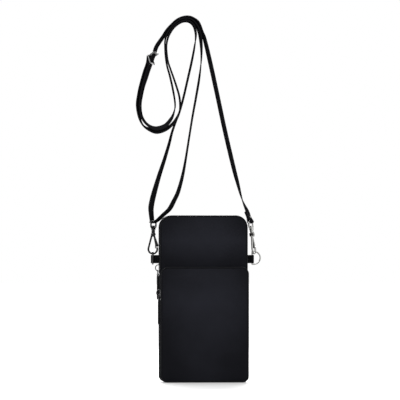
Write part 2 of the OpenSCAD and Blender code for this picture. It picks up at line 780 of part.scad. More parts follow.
module left_tab() {
    color([0.1, 0.1, 0.12]) translate(left_bar) rotate([0, 0, 180]) side_tab();
}

module right_tab() {
    color([0.1, 0.1, 0.12]) translate(right_bar) side_tab();
}

// A side ring with its bar on the Z axis and its bow towards X
module d_ring() {
    r = ring_wire / 2;
    rod([0, 0, -ring_half], [0, 0, ring_half], r);
    for (end = [-1, 1]) {
        translate([0, 0, end * ring_half]) sphere(r, $fn = 32);
        rod([0, 0, end * ring_half], [ring_arm, 0, end * ring_half], r);
    }
    translate([ring_arm, 0, 0]) rotate([90, 0, 0]) rotate([0, 0, -90])
        rotate_extrude(angle = 180, $fn = 64) translate([ring_half, 0]) circle(r, $fn = 32);
}

module left_d_ring() {
    color("silver") translate(left_bar) rotate([0, 0, -90]) d_ring();
}

module right_d_ring() {
    color("silver") translate(right_bar) d_ring();
}

// A snap hook's eye, with the collar that its hook turns in
module hook_eye() {
    bore = shank_r + run_gap;
    difference() {
        union() {
            wire_frame(eye_half, eye_low, eye_bar, eye_bend, eye_wire / 2);
            translate([0, 0, collar_low]) cylinder(collar_h, collar_r, collar_r, $fn = 48);
        }
        translate([0, 0, collar_low - overrun])
            cylinder(collar_h + 2 * overrun, bore, bore, $fn = 48);
    }
}

// The hook's bow, arm, block, shoulder and riveted shank
module hook_body() {
    r = hook_wire / 2;
    arm_top = [-block_r / 2, 0, block_z];
    rise = norm([arm_top[0], arm_top[2] - bow_z]);
    touch = atan2(arm_top[2] - bow_z, arm_top[0]) + acos(hook_bow / rise);
    head_low = collar_top + fold_gap;
    difference() {
        union() {
            translate([0, 0, bow_z]) rotate([90, 0, 0]) rotate([0, 0, touch])
                rotate_extrude(angle = 360 + nose_turn - touch, $fn = 96) translate([hook_bow, 0])
                    circle(r, $fn = 32);
            translate([hook_bow * cos(nose_turn), 0, bow_z + hook_bow * sin(nose_turn)])
                sphere(r + run_gap, $fn = 32);
            rod(arm_top, [hook_bow * cos(touch), 0, bow_z + hook_bow * sin(touch)], r);
            translate([hook_bow * cos(touch), 0, bow_z + hook_bow * sin(touch)])
                sphere(r + run_gap, $fn = 32);
            translate([0, block_t / 2, block_z]) rotate([90, 0, 0])
                cylinder(block_t, block_r, block_r, $fn = 48);
            translate([0, 0, block_z]) cylinder(collar_low - fold_gap - block_z, shoulder_r,
                shoulder_r, $fn = 48);
            translate([0, 0, block_z]) cylinder(head_low + head_h / 2 - block_z, shank_r,
                shank_r, $fn = 48);
            translate([0, 0, head_low]) cylinder(head_h, head_r, head_r, $fn = 48);
        }
        translate([-block_r / 3, -slot_t / 2, block_z - block_r - 2 * overrun])
            cube([2 * block_r, slot_t, block_r + gate_w + 2 * overrun]);
        translate([gate_x, 0, block_z]) rotate([90, 0, 0])
            cylinder(block_t + overrun, pin_r + run_gap / 2, pin_r + run_gap / 2, center = true,
                $fn = 48);
    }
}

// The gate, closed against the inside of the hook's nose
module hook_gate() {
    nose = [hook_bow * cos(nose_turn), bow_z + hook_bow * sin(nose_turn)];
    top = nose[1] + hook_wire / 2 + play;
    tongue = nose[0] - hook_wire / 2 - play;
    turn_r = block_r * 6 / 13;
    heel = [nose[0] + hook_wire / 3, top];
    back_y = (slot_t - gate_t) / 2 - run_gap;
    translate([0, back_y, 0]) difference() {
        union() {
            translate([gate_x, 0, block_z]) rotate([90, 0, 0])
                cylinder(gate_t, turn_r, turn_r, center = true, $fn = 48);
            rotate([90, 0, 0]) linear_extrude(gate_t - 2 * run_gap, center = true)
                polygon([[gate_x + turn_r, block_z - turn_r / 2], [heel[0], top + 2 * gate_w],
                    [gate_reach, top + gate_w], [gate_reach, top + gate_w / 2], [heel[0], top],
                    [tongue, top], [tongue, top - gate_w], [tongue - gate_w / 2, top - gate_w],
                    [tongue - gate_w / 2, top + gate_w], [gate_x - turn_r / 3, block_z - turn_r],
                    [gate_x - turn_r / 2, block_z - turn_r / 2]]);
        }
        translate([gate_x, 0, block_z]) rotate([90, 0, 0])
            cylinder(gate_t + overrun, pin_r + run_gap, pin_r + run_gap, center = true, $fn = 48);
    }
}

module hook_rivet() {
    translate([gate_x, 0, block_z]) rotate([90, 0, 0]) {
        cylinder(block_t + 2 * run_gap, pin_r, pin_r, center = true, $fn = 48);
        for (side = [-1, 1])
            translate([0, 0, side * (block_t / 2 + run_gap + rivet_h / 2)])
                cylinder(rivet_h, rivet_r, rivet_r, center = true, $fn = 48);
    }
}

// The gate's torsion spring, round the rivet beside the gate
module hook_spring() {
    length = slot_t - gate_t - 3 * run_gap;
    translate([gate_x, length / 2 - slot_t / 2 + run_gap, block_z]) rotate([90, 0, 0]) difference() {
        cylinder(length, spring_r, spring_r, center = true, $fn = 48);
        cylinder(length + overrun, pin_r + 2 * run_gap, pin_r + 2 * run_gap, center = true,
            $fn = 48);
    }
}

// The left hook faces the viewer and leans right; the right hook is seen from its edge
module at_left_hook() {
    translate(left_hook_at) rotate([0, left_lean, 0]) children();
}

module at_right_hook() {
    translate(right_hook_at) rotate([0, -right_lean, 0]) rotate([0, 0, body_turn]) children();
}

module left_hook_eye() {
    color([0.6, 0.6, 0.6]) at_left_hook() rotate([0, 0, -left_turn]) hook_eye();
}

module left_hook_body() {
    color([0.6, 0.6, 0.6]) at_left_hook() hook_body();
}

module left_hook_gate() {
    color([0.65, 0.65, 0.65]) at_left_hook() hook_gate();
}

module left_hook_rivet() {
    color([0.7, 0.7, 0.7]) at_left_hook() hook_rivet();
}

module left_hook_spring() {
    color([0.5, 0.5, 0.5]) at_left_hook() hook_spring();
}

module right_hook_eye() {
    color("silver") translate(right_hook_at) rotate([0, -right_lean, 0])
        rotate([0, 0, -right_turn]) hook_eye();
}

module right_hook_body() {
    color("silver") at_right_hook() hook_body();
}

module right_hook_gate() {
    color("silver") at_right_hook() hook_gate();
}

module right_hook_rivet() {
    color("silver") at_right_hook() hook_rivet();
}

module right_hook_spring() {
    color([0.5, 0.5, 0.5]) at_right_hook() hook_spring();
}

// The adjuster: two end bars on one side of the strap and the middle bar on the other
module adjuster_buckle() {
    lean = atan2(-run_dir[0], -run_dir[2]);
    half_y = strap_w / 2 + play + buckle_wire / 2;
    half_z = (buckle_len - buckle_wire) / 2;
    r = buckle_wire / 2;
    spots = [[-end_bar_off, half_z], [-bar_off, 0], [-end_bar_off, -half_z]];
    color("silver") translate(buckle_at) rotate([0, lean, 0]) rotate([0, 0, -run_top[3]]) {
        for (p = spots) {
            rod([p[0], -half_y, p[1]], [p[0], half_y, p[1]], r);
            for (side = [-1, 1])
                translate([p[0], side * half_y, p[1]]) sphere(r + run_gap, $fn = 32);
        }
        for (side = [-1, 1])
            for (i = [0, 1])
                rod([spots[i][0], side * half_y, spots[i][1]],
                    [spots[i + 1][0], side * half_y, spots[i + 1][1]], r);
    }
}

// The rivet that closes the strap's end round the right hook's eye
module strap_end_rivet() {
    at = at_right_eye(0, rivet_up);
    cap_h = rivet_h + lining_t / 2;
    reach = layer / 2 + strap_t / 2 + seam_gap;
    color("silver") translate([at[0], at[1], at[2]])
        rotate([0, acos(leg_side[2]), atan2(leg_side[1], leg_side[0])]) {
            cylinder(2 * reach + cap_h, pin_r, pin_r, center = true, $fn = 32);
            for (side = [-1, 1])
                translate([0, 0, side * (reach + cap_h / 2)])
                    cylinder(cap_h, rivet_r + lining_t, rivet_r + lining_t, center = true, $fn = 32);
        }
}

// One stretch of the webbing as a closed ribbon
module webbing(i) {
    first = stretch_start(i) * ring_steps;
    last = min(stretch_start(i + 1) * ring_steps, len(strap_line) - 1);
    rings = last - first + 1;
    points = [for (k = [first : last]) each strap_ring(k)];
    sides = [for (k = [0 : rings - 2]) for (s = [0 : 3])
        let (a = 4 * k + s, b = 4 * k + (s + 1) % 4) each [[a, b, b + 4], [a, b + 4, a + 4]]];
    end = 4 * (rings - 1);
    caps = [[2, 1, 0], [3, 2, 0], [end, end + 1, end + 2], [end, end + 2, end + 3]];
    color([0.1, 0.1, 0.12]) polyhedron(points, concat(sides, caps), convexity = 6);
}

module strap_right_leg() {
    webbing(0);
}

module strap_outer_crown() {
    webbing(1);
}

module strap_inner_loop() {
    webbing(2);
}

module strap_middle_crown() {
    webbing(3);
}

module strap_left_legs() {
    webbing(4);
}

module strap_inner_crown() {
    webbing(5);
}

module strap_outer_loop() {
    webbing(6);
}

module strap_tail() {
    webbing(7);
}

module strap_tail_end() {
    webbing(8);
}

back_panel();
back_padding();
back_lining();
back_piping();
main_gusset();
main_gusset_lining();
divider_panel();
divider_lining();
main_front_piping();
main_zip_tape_rear();
main_zip_chain_rear();
pocket_gusset();
pocket_panel();
pocket_lining();
pocket_piping();
pocket_zip_tape_rear();
pocket_zip_chain_rear();
zip_end_stops();
main_flap_panel();
main_flap_lining();
main_flap_piping();
main_zip_tape_front();
main_zip_chain_front();
pocket_flap_panel();
pocket_flap_lining();
pocket_flap_piping();
pocket_zip_tape_front();
pocket_zip_chain_front();
main_zip_slider();
main_pull_link();
main_pull_tab();
pocket_zip_slider();
pocket_pull_link();
pocket_pull_tab();
left_tab();
right_tab();
left_d_ring();
right_d_ring();
left_hook_eye();
left_hook_body();
left_hook_gate();
left_hook_rivet();
left_hook_spring();
right_hook_eye();
right_hook_body();
right_hook_gate();
right_hook_rivet();
right_hook_spring();
adjuster_buckle();
strap_end_rivet();
strap_right_leg();
strap_outer_crown();
strap_inner_loop();
strap_middle_crown();
strap_left_legs();
strap_inner_crown();
strap_outer_loop();
strap_tail();
strap_tail_end();
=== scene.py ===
"""Phone pouch on a long webbing strap: the looks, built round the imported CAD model."""
import json
import math

import bpy
import numpy as np
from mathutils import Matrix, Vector, noise


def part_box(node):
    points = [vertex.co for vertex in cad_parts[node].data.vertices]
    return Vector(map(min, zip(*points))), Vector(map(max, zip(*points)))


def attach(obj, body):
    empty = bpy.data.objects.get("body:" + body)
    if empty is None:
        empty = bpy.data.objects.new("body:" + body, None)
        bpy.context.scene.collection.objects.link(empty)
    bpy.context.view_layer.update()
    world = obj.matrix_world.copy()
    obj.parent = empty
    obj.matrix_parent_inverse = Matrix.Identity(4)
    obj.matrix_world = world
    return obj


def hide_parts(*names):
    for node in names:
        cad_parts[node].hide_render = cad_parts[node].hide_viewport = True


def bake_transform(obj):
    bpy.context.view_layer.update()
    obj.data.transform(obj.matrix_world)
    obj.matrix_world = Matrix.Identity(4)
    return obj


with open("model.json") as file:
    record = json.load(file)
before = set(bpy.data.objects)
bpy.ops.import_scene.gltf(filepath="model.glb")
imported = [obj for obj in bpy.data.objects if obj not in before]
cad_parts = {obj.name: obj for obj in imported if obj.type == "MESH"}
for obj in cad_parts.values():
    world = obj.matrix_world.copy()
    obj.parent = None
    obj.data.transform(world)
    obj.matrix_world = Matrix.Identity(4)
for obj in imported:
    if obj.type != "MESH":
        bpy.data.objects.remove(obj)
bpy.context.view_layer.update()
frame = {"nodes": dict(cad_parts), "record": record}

# Sizes in millimetres, as in the CAD model. The bag's own heights start at its bottom seam.
MM = 0.001
BAG_X, BAG_Z = 20.016, -400.0
BAG_W, BAG_H, POCKET_H = 98.0, 185.0, 128.0
HALF = BAG_W / 2
TOP_R, POCKET_R, BOTTOM_R = 13.5, 8.0, 7.0
BACK_Y, FRONT_Y, POCKET_Y = 1.0, -21.0, -37.0
MAIN_ZIP_Y, POCKET_ZIP_Y = -10.0, -29.0
FOLD_L, FOLD_R, POCKET_FOLD = 131.5, 143.0, 104.0
ZIP_L, ZIP_R, POCKET_ZIP = 118.5, 136.5, 91.0
SEAM_R = 1.0
CLOTH_T = 0.8
PLAY = 0.3
UP = np.array((0.0, 0.0, 1.0))
# Between two floats that are meant to be the same
TINY = 1e-9


# ------------------------ points and meshes
def bag(x, y, z):
    """A point of the bag's own frame, in the row frame."""
    return (BAG_X + x, y, BAG_Z + z)


def smooth(a, b, x):
    """0 up to a, 1 from b on, and an even rise between."""
    t = min(max((x - a) / (b - a), 0.0), 1.0)
    return t * t * (3 - 2 * t)


def soft_noise(x, y, z, size):
    """Smooth noise from -1 to 1 whose bumps are about size across."""
    return noise.noise(Vector((x / size, y / size, z / size)))


def cos_sin(degrees):
    a = math.radians(degrees)
    return math.cos(a), math.sin(a)


def unit(v):
    return v / np.linalg.norm(v)


def walk_along(points):
    """How far along the points each of them lies."""
    walk = [0.0]
    for p, q in zip(points, points[1:]):
        walk.append(walk[-1] + math.dist(p, q))
    return walk


def find_step(walk, d):
    """The last point at or before distance d, and how far d is on the way to the next."""
    i = max(j for j in range(len(walk) - 1) if walk[j] <= d + TINY)
    return i, (d - walk[i]) / max(walk[i + 1] - walk[i], TINY)


def make_mesh(name, verts, faces, material, uvs=None, creases=50):
    """A smooth-shaded mesh object from points in millimetres, with one (u, v) per vertex in uvs
    and sharp edges where its faces meet at more than creases degrees."""
    mesh = bpy.data.meshes.new(name)
    mesh.from_pydata([tuple(c * MM for c in v) for v in verts], [], faces)
    mesh.validate()
    if uvs is not None:
        layer = mesh.uv_layers.new(name="UVMap")
        index = np.empty(len(mesh.loops), np.int32)
        mesh.loops.foreach_get("vertex_index", index)
        layer.data.foreach_set("uv", np.array(uvs, np.float32)[index].ravel())
    mesh.shade_smooth()
    mesh.set_sharp_from_angle(angle=math.radians(creases))
    mesh.materials.append(material)
    piece = bpy.data.objects.new(name, mesh)
    bpy.context.scene.collection.objects.link(piece)
    return piece


class Builder:
    """Collects parts of one mesh."""

    def __init__(self):
        self.verts, self.faces, self.uvs = [], [], []

    def grid(self, rows, uvs=None, close_u=False, close_v=False, flip=False):
        """Quads over rows of points; close_u joins each row's ends, and close_v the first and
        the last row. Returns the index of its first point."""
        base, n = len(self.verts), len(rows[0])
        for row, uv in zip(rows, uvs or [[(0.0, 0.0)] * n] * len(rows)):
            self.verts += [tuple(p) for p in row]
            self.uvs += [tuple(q) for q in uv]
        for j in range(len(rows) if close_v else len(rows) - 1):
            k = (j + 1) % len(rows)
            for i in range(n if close_u else n - 1):
                m = (i + 1) % n
                quad = (base + j * n + i, base + j * n + m, base + k * n + m, base + k * n + i)
                self.faces.append(quad[::-1] if flip else quad)
        return base

    def tube(self, rows, uvs=None, closed=False, flip=False):
        """A skin over rows of closed sections, with both ends capped unless it is closed."""
        base, n = self.grid(rows, uvs, True, closed, flip), len(rows[0])
        if not closed:
            first = tuple(range(base, base + n))
            last = tuple(range(base + n * (len(rows) - 1), base + n * len(rows)))
            self.faces += [first, last[::-1]] if flip else [first[::-1], last]

    def make(self, name, material, creases=50):
        return make_mesh(name, self.verts, self.faces, material, self.uvs, creases)


def sweep(builder, stations, section, uv_start=0.0):
    """Sweeps a closed section of (a, b) points along stations of (centre, A, B), whose A and B
    are unit axes."""
    rows = [[centre + a * a_axis + b * b_axis for a, b in section]
            for centre, a_axis, b_axis in stations]
    around = walk_along(section)
    walk = walk_along([centre for centre, _, _ in stations])
    builder.tube(rows, [[(a, uv_start + d) for a in around] for d in walk])


def ring(radius, count):
    """Points of a circle, once round from +A."""
    turns = [2 * math.pi * i / count for i in range(count)]
    return [(radius * math.cos(a), radius * math.sin(a)) for a in turns]


def plate(width, thick, edge):
    """A flat section with rounded edges, width along a and thickness along b."""
    w, t, e = width / 2, thick / 2, edge
    bevel = 0.3 * e
    return [(-w, -t + e), (-w + bevel, -t + bevel), (-w + e, -t), (0, -t), (w - e, -t),
            (w - bevel, -t + bevel), (w, -t + e), (w, t - e), (w - bevel, t - bevel), (w - e, t),
            (0, t), (-w + e, t), (-w + bevel, t - bevel), (-w, t - e)]


# ------------------------ the bag's outlines
def outline(height, top_r, start, end, over, step=4.0):
    """Points (x, z, normal x, normal z) on a panel's outline, from height start on the left side
    to height end on the right side, over the top or round the bottom."""
    r = top_r if over else BOTTOM_R
    turn = height - top_r if over else BOTTOM_R
    sign = 1 if over else -1
    edge_z = height if over else 0.0
    flat = HALF - r

    def straight(a, b):
        n = max(2, round(abs(b - a) / step) + 1)
        return [a + (b - a) * i / (n - 1) for i in range(n)]

    arc = [cos_sin(a) for a in range(9, 90, 9)]
    points = [(-HALF, z, -1.0, 0.0) for z in straight(start, turn)]
    points += [(-flat - r * c, turn + sign * r * s, -c, sign * s) for c, s in arc]
    points += [(x, edge_z, 0.0, float(sign)) for x in straight(-flat, flat)]
    points += [(flat + r * c, turn + sign * r * s, c, sign * s) for c, s in reversed(arc)]
    points += [(HALF, z, 1.0, 0.0) for z in straight(turn, end)]
    return points


def whole_outline(height, top_r, step):
    """The closed outline, once round from the left side's middle."""
    middle = height / 2
    top = outline(height, top_r, middle, middle, True, step)
    low = outline(height, top_r, middle, middle, False, step)
    return top + low[-2:0:-1]


def inner_outline(height, top_r, inset):
    """The inset outline's half width, lowest and highest point, and lower and upper radius."""
    return HALF - inset, inset, height - inset, BOTTOM_R - inset, top_r - inset


def edge_depth(x, z, height, top_r, inset):
    """How far inside the inset outline a point lies."""
    half, low, high, r_low, r_high = inner_outline(height, top_r, inset)
    x = abs(x)
    if z > high - r_high and x > half - r_high:
        return r_high - math.hypot(x - (half - r_high), z - (high - r_high))
    if z < low + r_low and x > half - r_low:
        return r_low - math.hypot(x - (half - r_low), z - (low + r_low))
    return min(half - x, z - low, high - z)


def half_width(z, height, top_r, inset):
    """Half the panel's width at height z."""
    half, low, high, r_low, r_high = inner_outline(height, top_r, inset)
    if z > high - r_high:
        return half - r_high + math.sqrt(max(r_high ** 2 - (z - (high - r_high)) ** 2, 0.0))
    if z < low + r_low:
        return half - r_low + math.sqrt(max(r_low ** 2 - (z - (low + r_low)) ** 2, 0.0))
    return half


# ------------------------ sewn pieces
ROW_STEP, DENSE_STEP, LEAST_STEP = 4.0, 1.0, 0.12
EDGE_ROWS = (0.5, 1.2, 2.2)
# Distance of a panel's columns from its left and right edge
EDGE_COLUMNS = (0, 0.5, 1.2, 2.2, 3.6, 5.5, 8.5, 12, 16, 21, 26, 31, 36, 41)
# The inner face follows a share of the outer face's rise, up to this rise
INNER_RISE, INNER_SHARE = 1.2, 0.5
# Length over which a seam's edge wanders
WANDER = 17.0


def panel_heights(height, top_r, inset, dense):
    """Heights of a panel's rows, closer round its corners and in the dense ranges."""
    _, low, high, r_low, r_high = inner_outline(height, top_r, inset)
    heights = {low, high}
    for a in range(10, 91, 10):
        part = 1 - math.cos(math.radians(a))
        heights |= {low + r_low * part, high - r_high * part}
    heights |= {low + d for d in EDGE_ROWS} | {high - d for d in EDGE_ROWS}
    z = low + r_low
    while z < high - r_high:
        z += DENSE_STEP if any(a <= z <= b for a, b in dense) else ROW_STEP
        heights.add(min(z, high - r_high))
    rows = sorted(heights)
    return [z for i, z in enumerate(rows) if i == 0 or z - rows[i - 1] > LEAST_STEP or z == high]


def panel(name, material, height, top_r, inset, y_edge, thick, bulge, dense=()):
    """A sewn panel with rounded corners. y_edge is its outer face's depth at the seam, thick its
    thickness towards +Y (negative towards -Y), and bulge(x, z, depth) how far the outer face
    stands proud. dense holds (low, high) heights with rows 1 mm apart."""
    share = [d / (HALF - inset) for d in EDGE_COLUMNS]
    columns = [-1 + s for s in share] + [0.0] + [1 - s for s in reversed(share)]
    side = 1.0 if thick > 0 else -1.0
    front, back, uvs = [], [], []
    for z in panel_heights(height, top_r, inset, dense):
        width = half_width(z, height, top_r, inset)
        row = [(c * width, max(edge_depth(c * width, z, height, top_r, inset), 0.0))
               for c in columns]
        row = [(x, side * bulge(x, z, depth)) for x, depth in row]
        front.append([bag(x, y_edge - rise, z) for x, rise in row])
        inner = [(x, side * min(side * rise, INNER_RISE) * INNER_SHARE) for x, rise in row]
        back.append([bag(x, y_edge + thick - rise, z) for x, rise in inner])
        uvs.append([(x, z) for x, _ in row])
    outward = thick > 0
    builder = Builder()
    base_f = builder.grid(front, uvs, flip=not outward)
    base_b = builder.grid(back, uvs, flip=outward)
    n, m = len(columns), len(front)
    rim = list(range(n)) + [j * n + n - 1 for j in range(1, m)]
    rim += [(m - 1) * n + i for i in range(n - 2, -1, -1)] + [j * n for j in range(m - 2, 0, -1)]
    for a, b in zip(rim, rim[1:] + rim[:1]):
        quad = (base_f + a, base_b + a, base_b + b, base_f + b)
        builder.faces.append(quad if outward else quad[::-1])
    return builder.make(name, material)


def band(builder, path, section, wobble=0.0, closed=False):
    """Sweeps a section of (inset, y) points along the outline. Insets run inward from the seam,
    and wobble is how far they wander."""
    rows = []
    for x, z, nx, nz in path:
        row = [(inset + wobble * soft_noise(x, y * 2, z, WANDER), y) for inset, y in section]
        rows.append([bag(x - d * nx, y, z - d * nz) for d, y in row])
    around = walk_along(section)
    walk = walk_along([p[:2] for p in path])
    builder.tube(rows, [[(a, d) for a in around] for d in walk], closed)


def piping(name, height, top_r, y):
    """A rolled seam all round the outline."""
    builder = Builder()
    section = [(SEAM_R + a, y + b) for a, b in ring(SEAM_R, 14)]
    band(builder, whole_outline(height, top_r, 2.5), section, 0.06, closed=True)
    return builder.make(name, BINDING, 60)


TOOTH_PITCH = 1.5
# How far inside the seam the bead and the teeth run, and how far the bead lies back from the
# row's middle and the teeth reach past it, towards the other row
BEAD_R, BEAD_IN, TOOTH_IN, BEAD_BACK, TOOTH_FORE = 0.45, 1.9, 1.75, 0.35, 0.2
# A tooth's section at four places along the zip: place, half width and half height
TOOTH_STEPS = ((-0.5, 0.78, 0.45), (-0.35, 0.88, 0.62), (0.35, 0.88, 0.62), (0.5, 0.78, 0.45))
TOOTH_SECTION = ((-1, -0.6), (-0.6, -1), (0.6, -1), (1, -0.6),
                 (1, 0.6), (0.6, 1), (-0.6, 1), (-1, 0.6))


def teeth(name, path, y, direction):
    """One row of moulded zip teeth on a bead; direction is the side towards the other row, whose
    teeth stand half a pitch along."""
    builder = Builder()
    bead = [(a + BEAD_IN, y + b - direction * BEAD_BACK) for a, b in ring(BEAD_R, 8)]
    band(builder, path, bead)
    walk = walk_along([p[:2] for p in path])
    first = 0.75 if direction > 0 else 0.25
    for k in range(int(walk[-1] / TOOTH_PITCH)):
        i, t = find_step(walk, (k + first) * TOOTH_PITCH)
        p, q = np.array(path[i]), np.array(path[i + 1])
        x, z, nx, nz = p + (q - p) * t
        nx, nz = unit(np.array((nx, nz)))
        centre = np.array(bag(x - TOOTH_IN * nx, y + direction * TOOTH_FORE, z - TOOTH_IN * nz))
        along, out, wide = np.array((nz, 0, -nx)), np.array((nx, 0, nz)), np.array((0, 1.0, 0))
        builder.tube([[centre + along * s + wide * a * w + out * b * h for a, b in TOOTH_SECTION]
                      for s, w, h in TOOTH_STEPS])
    return builder.make(name, TEETH, 45)


# A stitch at five places along it: place, swelling and rise over the cloth
STITCH_STEPS = ((0, 0.35, -0.12), (0.2, 1, 0.02), (0.5, 1.1, 0.06), (0.8, 1, 0.02),
                (1, 0.35, -0.12))


def stitches(name, material, lines, length, pitch, radius):
    """Rows of thread. Each line is a list of (point, outward normal)."""
    builder = Builder()
    for line in lines:
        points = [np.array(p, float) for p, _ in line]
        normals = [np.array(n, float) for _, n in line]
        walk = walk_along(points)

        def at(d):
            i, t = find_step(walk, d)
            return points[i] + (points[i + 1] - points[i]) * t, normals[i]

        d = (walk[-1] % pitch) / 2 + 0.1
        while d + length < walk[-1]:
            a, normal = at(d)
            b, _ = at(d + length)
            side = np.cross(unit(b - a), normal)
            rows = []
            for t, swell, rise in STITCH_STEPS:
                centre = a + (b - a) * t + normal * rise
                rows.append([centre + radius * swell * (c * side + s * normal)
                             for c, s in ring(1.0, 6)])
            builder.tube(rows)
            d += pitch
    return builder.make(name, material, 60)


# ------------------------ materials
class Graph:
    """Short names for the nodes that the materials share."""

    def __init__(self, owner):
        self.nodes, self.links = owner.node_tree.nodes, owner.node_tree.links
        self.shader = self.nodes.get("Principled BSDF")

    def put(self, kind, inputs=(), **settings):
        node = self.nodes.new("ShaderNode" + kind)
        for key, value in settings.items():
            setattr(node, key, value)
        for key, value in dict(inputs).items():
            if isinstance(value, bpy.types.NodeSocket):
                self.links.new(value, node.inputs[key])
            else:
                node.inputs[key].default_value = value
        return node

    def math(self, operation, a, b=0.0, clamp=False):
        return self.put("Math", {0: a, 1: b}, operation=operation, use_clamp=clamp).outputs[0]

    def times(self, a, b):
        return self.math("MULTIPLY", a, b)

    def add(self, a, b, clamp=False):
        return self.math("ADD", a, b, clamp)

    def mix(self, a, share, b):
        """A share of a and the rest of b."""
        return self.add(self.times(a, share), self.times(b, 1 - share))

    def ramp(self, value, low, high, to_low, to_high):
        return self.put("MapRange", {"Value": value, "From Min": low, "From Max": high,
                                     "To Min": to_low, "To Max": to_high}).outputs[0]

    def noise(self, vector, scale, detail=3.0, rough=0.55):
        return self.put("TexNoise", {"Vector": vector, "Scale": scale, "Detail": detail,
                                     "Roughness": rough}).outputs[0]

    def coords(self, kind):
        return self.put("TexCoord").outputs[kind]

    def split(self, vector):
        return self.put("SeparateXYZ", {0: vector}).outputs

    def shade(self, color, factor, low, high):
        """Base colour between low and high times color, by factor."""
        mix = self.put("Mix", {0: factor}, data_type="RGBA")
        mix.inputs[6].default_value = (*(c * low for c in color), 1)
        mix.inputs[7].default_value = (*(c * high for c in color), 1)
        self.links.new(mix.outputs[2], self.shader.inputs["Base Color"])

    def roughen(self, value, low, high, start=0.3):
        """Roughness from low to high as value goes from start to 0.7."""
        self.links.new(self.ramp(value, start, 0.7, low, high), self.shader.inputs["Roughness"])

    def bump(self, *heights):
        """Stacks (height, distance in mm, strength) into the shader's normal."""
        normal = None
        for height, distance, strength in heights:
            node = self.put("Bump", {"Height": height, "Distance": distance * MM,
                                     "Strength": strength})
            if normal is not None:
                self.links.new(normal, node.inputs["Normal"])
            normal = node.outputs[0]
        self.links.new(normal, self.shader.inputs["Normal"])


def new_material(name, color, rough, **sockets):
    """A material and its graph. Other sockets are given with _ for each space."""
    material = bpy.data.materials.new(name)
    material.use_nodes = True
    graph = Graph(material)
    sockets.update(Base_Color=(*color, 1), Roughness=rough)
    for key, value in sockets.items():
        graph.shader.inputs[key.replace("_", " ")].default_value = value
    return material, graph


def weave_height(graph, u, v, pitch):
    """A plain weave: threads over and under each other, from 0 to 1."""
    a, b = graph.times(u, 1 / pitch), graph.times(v, 1 / pitch)
    over_u, over_v = (graph.math("ABSOLUTE", graph.math("SINE", graph.times(c, math.pi)))
                      for c in (a, b))
    cell = graph.add(graph.math("FLOOR", a), graph.math("FLOOR", b))
    odd = graph.math("PINGPONG", cell, 1.0)
    return graph.put("Mix", {0: odd, 2: over_u, 3: over_v}, data_type="FLOAT").outputs[0]


# Painted light on the bag's front, lightest where the lamps would light it most, in metres: its
# middle, and at two heights, each with its reach and with the tone there and beyond that reach
LIGHT_X, LIGHT_REACH = 0.022, 0.05
LIGHT_BANDS = ((-0.243, 0.028, 0.6, -0.35), (-0.312, 0.09, 0.4, -0.6))


def painted_upper_light(graph, place):
    """Painted light and shade: lighter below the flap's top and below the pocket's top,
    darker towards the sides.
    """
    across, _, up = graph.split(place)
    off = graph.times(graph.math("SUBTRACT", across, LIGHT_X), 1 / LIGHT_REACH)
    bands = []
    for z, reach, near, far in LIGHT_BANDS:
        away = graph.math("ABSOLUTE", graph.math("SUBTRACT", up, z))
        bands.append(graph.ramp(away, 0.0, reach, near, far))
    return graph.add(graph.times(graph.times(off, off), -0.9), graph.math("MAXIMUM", *bands))


def cloth(name, color, rough, pitch=0.42, depth=0.05, sheen=0.25, variation=0.18, gloss=0.3,
          painted_light=0.0):
    """Woven cloth, with its thread pitch and weave depth in millimetres; its last argument adds
    painted light, a lighter upper middle and darker sides."""
    material, graph = new_material(name, color, rough, Sheen_Weight=sheen, Sheen_Roughness=0.45,
                                   Specular_IOR_Level=gloss)
    u, v, _ = graph.split(graph.coords("UV"))
    place = graph.coords("Object")
    weave = weave_height(graph, u, v, pitch)
    cloudy = graph.noise(place, 28.0, 4.0)
    fine = graph.noise(place, 900.0, 2.0)
    tone = graph.mix(cloudy, 0.65, weave)
    # Painted light: the flap's and the pocket's upper middle lighter, the sides darker
    if painted_light:
        tone = graph.add(tone, graph.times(painted_upper_light(graph, place), painted_light))
    spread = variation * 1.6 + painted_light * 0.3
    graph.shade(color, tone, 1 - spread, 1 + spread)
    graph.roughen(graph.mix(cloudy, 0.7, fine), rough - 0.07, rough + 0.07)
    graph.bump((graph.noise(place, 70.0, 3.0), 0.25, 0.25), (weave, depth, 0.6))
    return material


CHEVRON_PITCH, STRAP_PITCH = 1.05, 0.5


def webbing_material(name, color, width):
    """Narrow woven webbing: fine chevrons along it and a firmer edge. UVs run round the section
    in millimetres, and width is half way round."""
    material, graph = new_material(name, color, 0.75, Sheen_Weight=0.001, Sheen_Roughness=0.5,
                                   Specular_IOR_Level=0.0)
    u, v, _ = graph.split(graph.coords("UV"))
    place = graph.coords("Object")
    side = graph.math("PINGPONG", u, width)
    from_middle = graph.math("ABSOLUTE", graph.math("SUBTRACT", side, width / 2))
    zigzag = graph.math("PINGPONG", from_middle, width / 4)
    slant = graph.add(graph.times(v, 1 / CHEVRON_PITCH), zigzag)
    wave = graph.math("SINE", graph.times(slant, 2 * math.pi))
    rib = graph.add(graph.times(wave, 0.5), 0.5)
    thread = weave_height(graph, side, v, STRAP_PITCH)
    edge = graph.ramp(from_middle, width / 2 - 0.9, width / 2 - 0.2, 0.0, 1.0)
    cloudy = graph.noise(place, 45.0, 4.0)
    worn = graph.times(edge, graph.noise(place, 160.0, 3.0))
    graph.shade(color, graph.add(graph.mix(rib, 0.4, cloudy), worn, True), 0.75, 1.3)
    graph.roughen(cloudy, 0.68, 0.82)
    graph.bump((rib, 0.05, 0.4), (thread, 0.03, 0.4))
    return material


